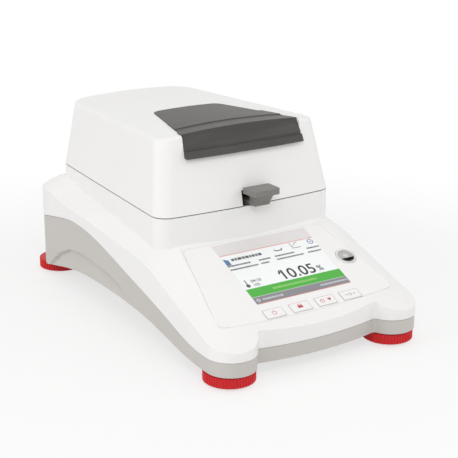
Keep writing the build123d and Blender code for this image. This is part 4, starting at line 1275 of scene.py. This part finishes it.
@dataclass
class Level:
    """The spirit level: a pale ring, a domed vial, the ring mark, the bubble and the rim's shade."""

    x: float = 68.5
    s: float = 51.5
    ring_radius: float = 9.2
    vial_radius: float = 7.2
    bubble_offset: Flat = (-0.3, 0.6)
    shade_from: float = 200.0
    shade_to: float = 350.0
    steps: int = 72

    def turned(self, name: str, profile: Sequence[Flat], finish: Finish, offset: Flat = (0.0, 0.0)) -> Piece:
        """Turn a profile round an axis that stands upright on the panel.

        Args:
            name: Name of the piece.
            profile: Corners as radius and height off the panel.
            finish: The finish of the piece.
            offset: Place of the axis from the middle of the level.

        Returns:
            The piece.
        """
        x, s = self.x + offset[0], self.s + offset[1]
        return lathe(name, profile, lambda dx, ds, h: PANEL.at(x + dx, s + ds, h), finish, self.steps)

    def build(self) -> list[Piece]:
        """Make the pieces of the level."""
        outer, inner = self.ring_radius, self.vial_radius
        # Profiles by radius and height off the panel
        rim = [(inner, -0.8), (outer - 0.1, -0.8), (outer, 0.3), (outer - 0.5, 0.7), (inner + 0.5, 0.65),
               (inner, 0.2)]
        dome = [(0.05, -4.0), (inner - 0.05, -4.0), (inner - 0.05, -0.5), (inner - 0.9, 0.0),
                (inner * 0.55, 0.35), (0.05, 0.5)]
        drop = [(0.03, 0.4), (1.9, 0.36), (2.4, 0.42), (1.8, 0.6), (0.03, 0.68)]
        ring = self.turned("level_ring", rim, LEVEL_RING)
        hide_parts("level_housing")
        vial = self.turned("level_vial", dome, LEVEL_LIQUID)
        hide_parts("level_glass")
        mark = self.turned("level_mark", [(3.0, 0.4), (3.2, 0.4), (3.2, 0.5), (3.0, 0.5)], KEY_GREY)
        bubble = self.turned("level_bubble", drop, LEVEL_BUBBLE, self.bubble_offset)
        sweep = self.shade_to - self.shade_from
        turns = [math.radians(self.shade_from + sweep * i / 24) for i in range(25)]
        inner_arc = [(self.x + (inner - 0.6) * math.cos(a), self.s - 2.0 + 0.55 * inner * math.sin(a))
                     for a in turns]
        outer_arc = arc(self.x, self.s, inner - 0.2, turns)
        shade = inked("level_shade", LEVEL_SHADE, 0.42, 0.5, outer_arc + inner_arc[::-1])
        return [ring, vial, mark, bubble, shade]


class Analyzer:
    """The whole instrument, dressed sub-assembly by sub-assembly."""

    def build(self) -> None:
        """Dress the nodes and add the pieces that belong to each body."""
        dress_nodes()
        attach(LowerHousing().build(), "base")
        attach(Window().build(), "lid")
        for foot, wheel in FootWheels().build().items():
            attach(wheel, "wheel_" + foot)
        for piece in Level().build():
            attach(piece, "base")
        for piece in Display().build():
            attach(piece, "base")
        for body, pieces in KeyFaces().build().items():
            for piece in pieces:
                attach(piece, body)


def main() -> None:
    """Build the studio and the instrument."""
    logging.basicConfig(level=logging.INFO, format="%(name)s: %(message)s")
    Studio().build()
    Analyzer().build()


if __name__ == "__main__":
    main()
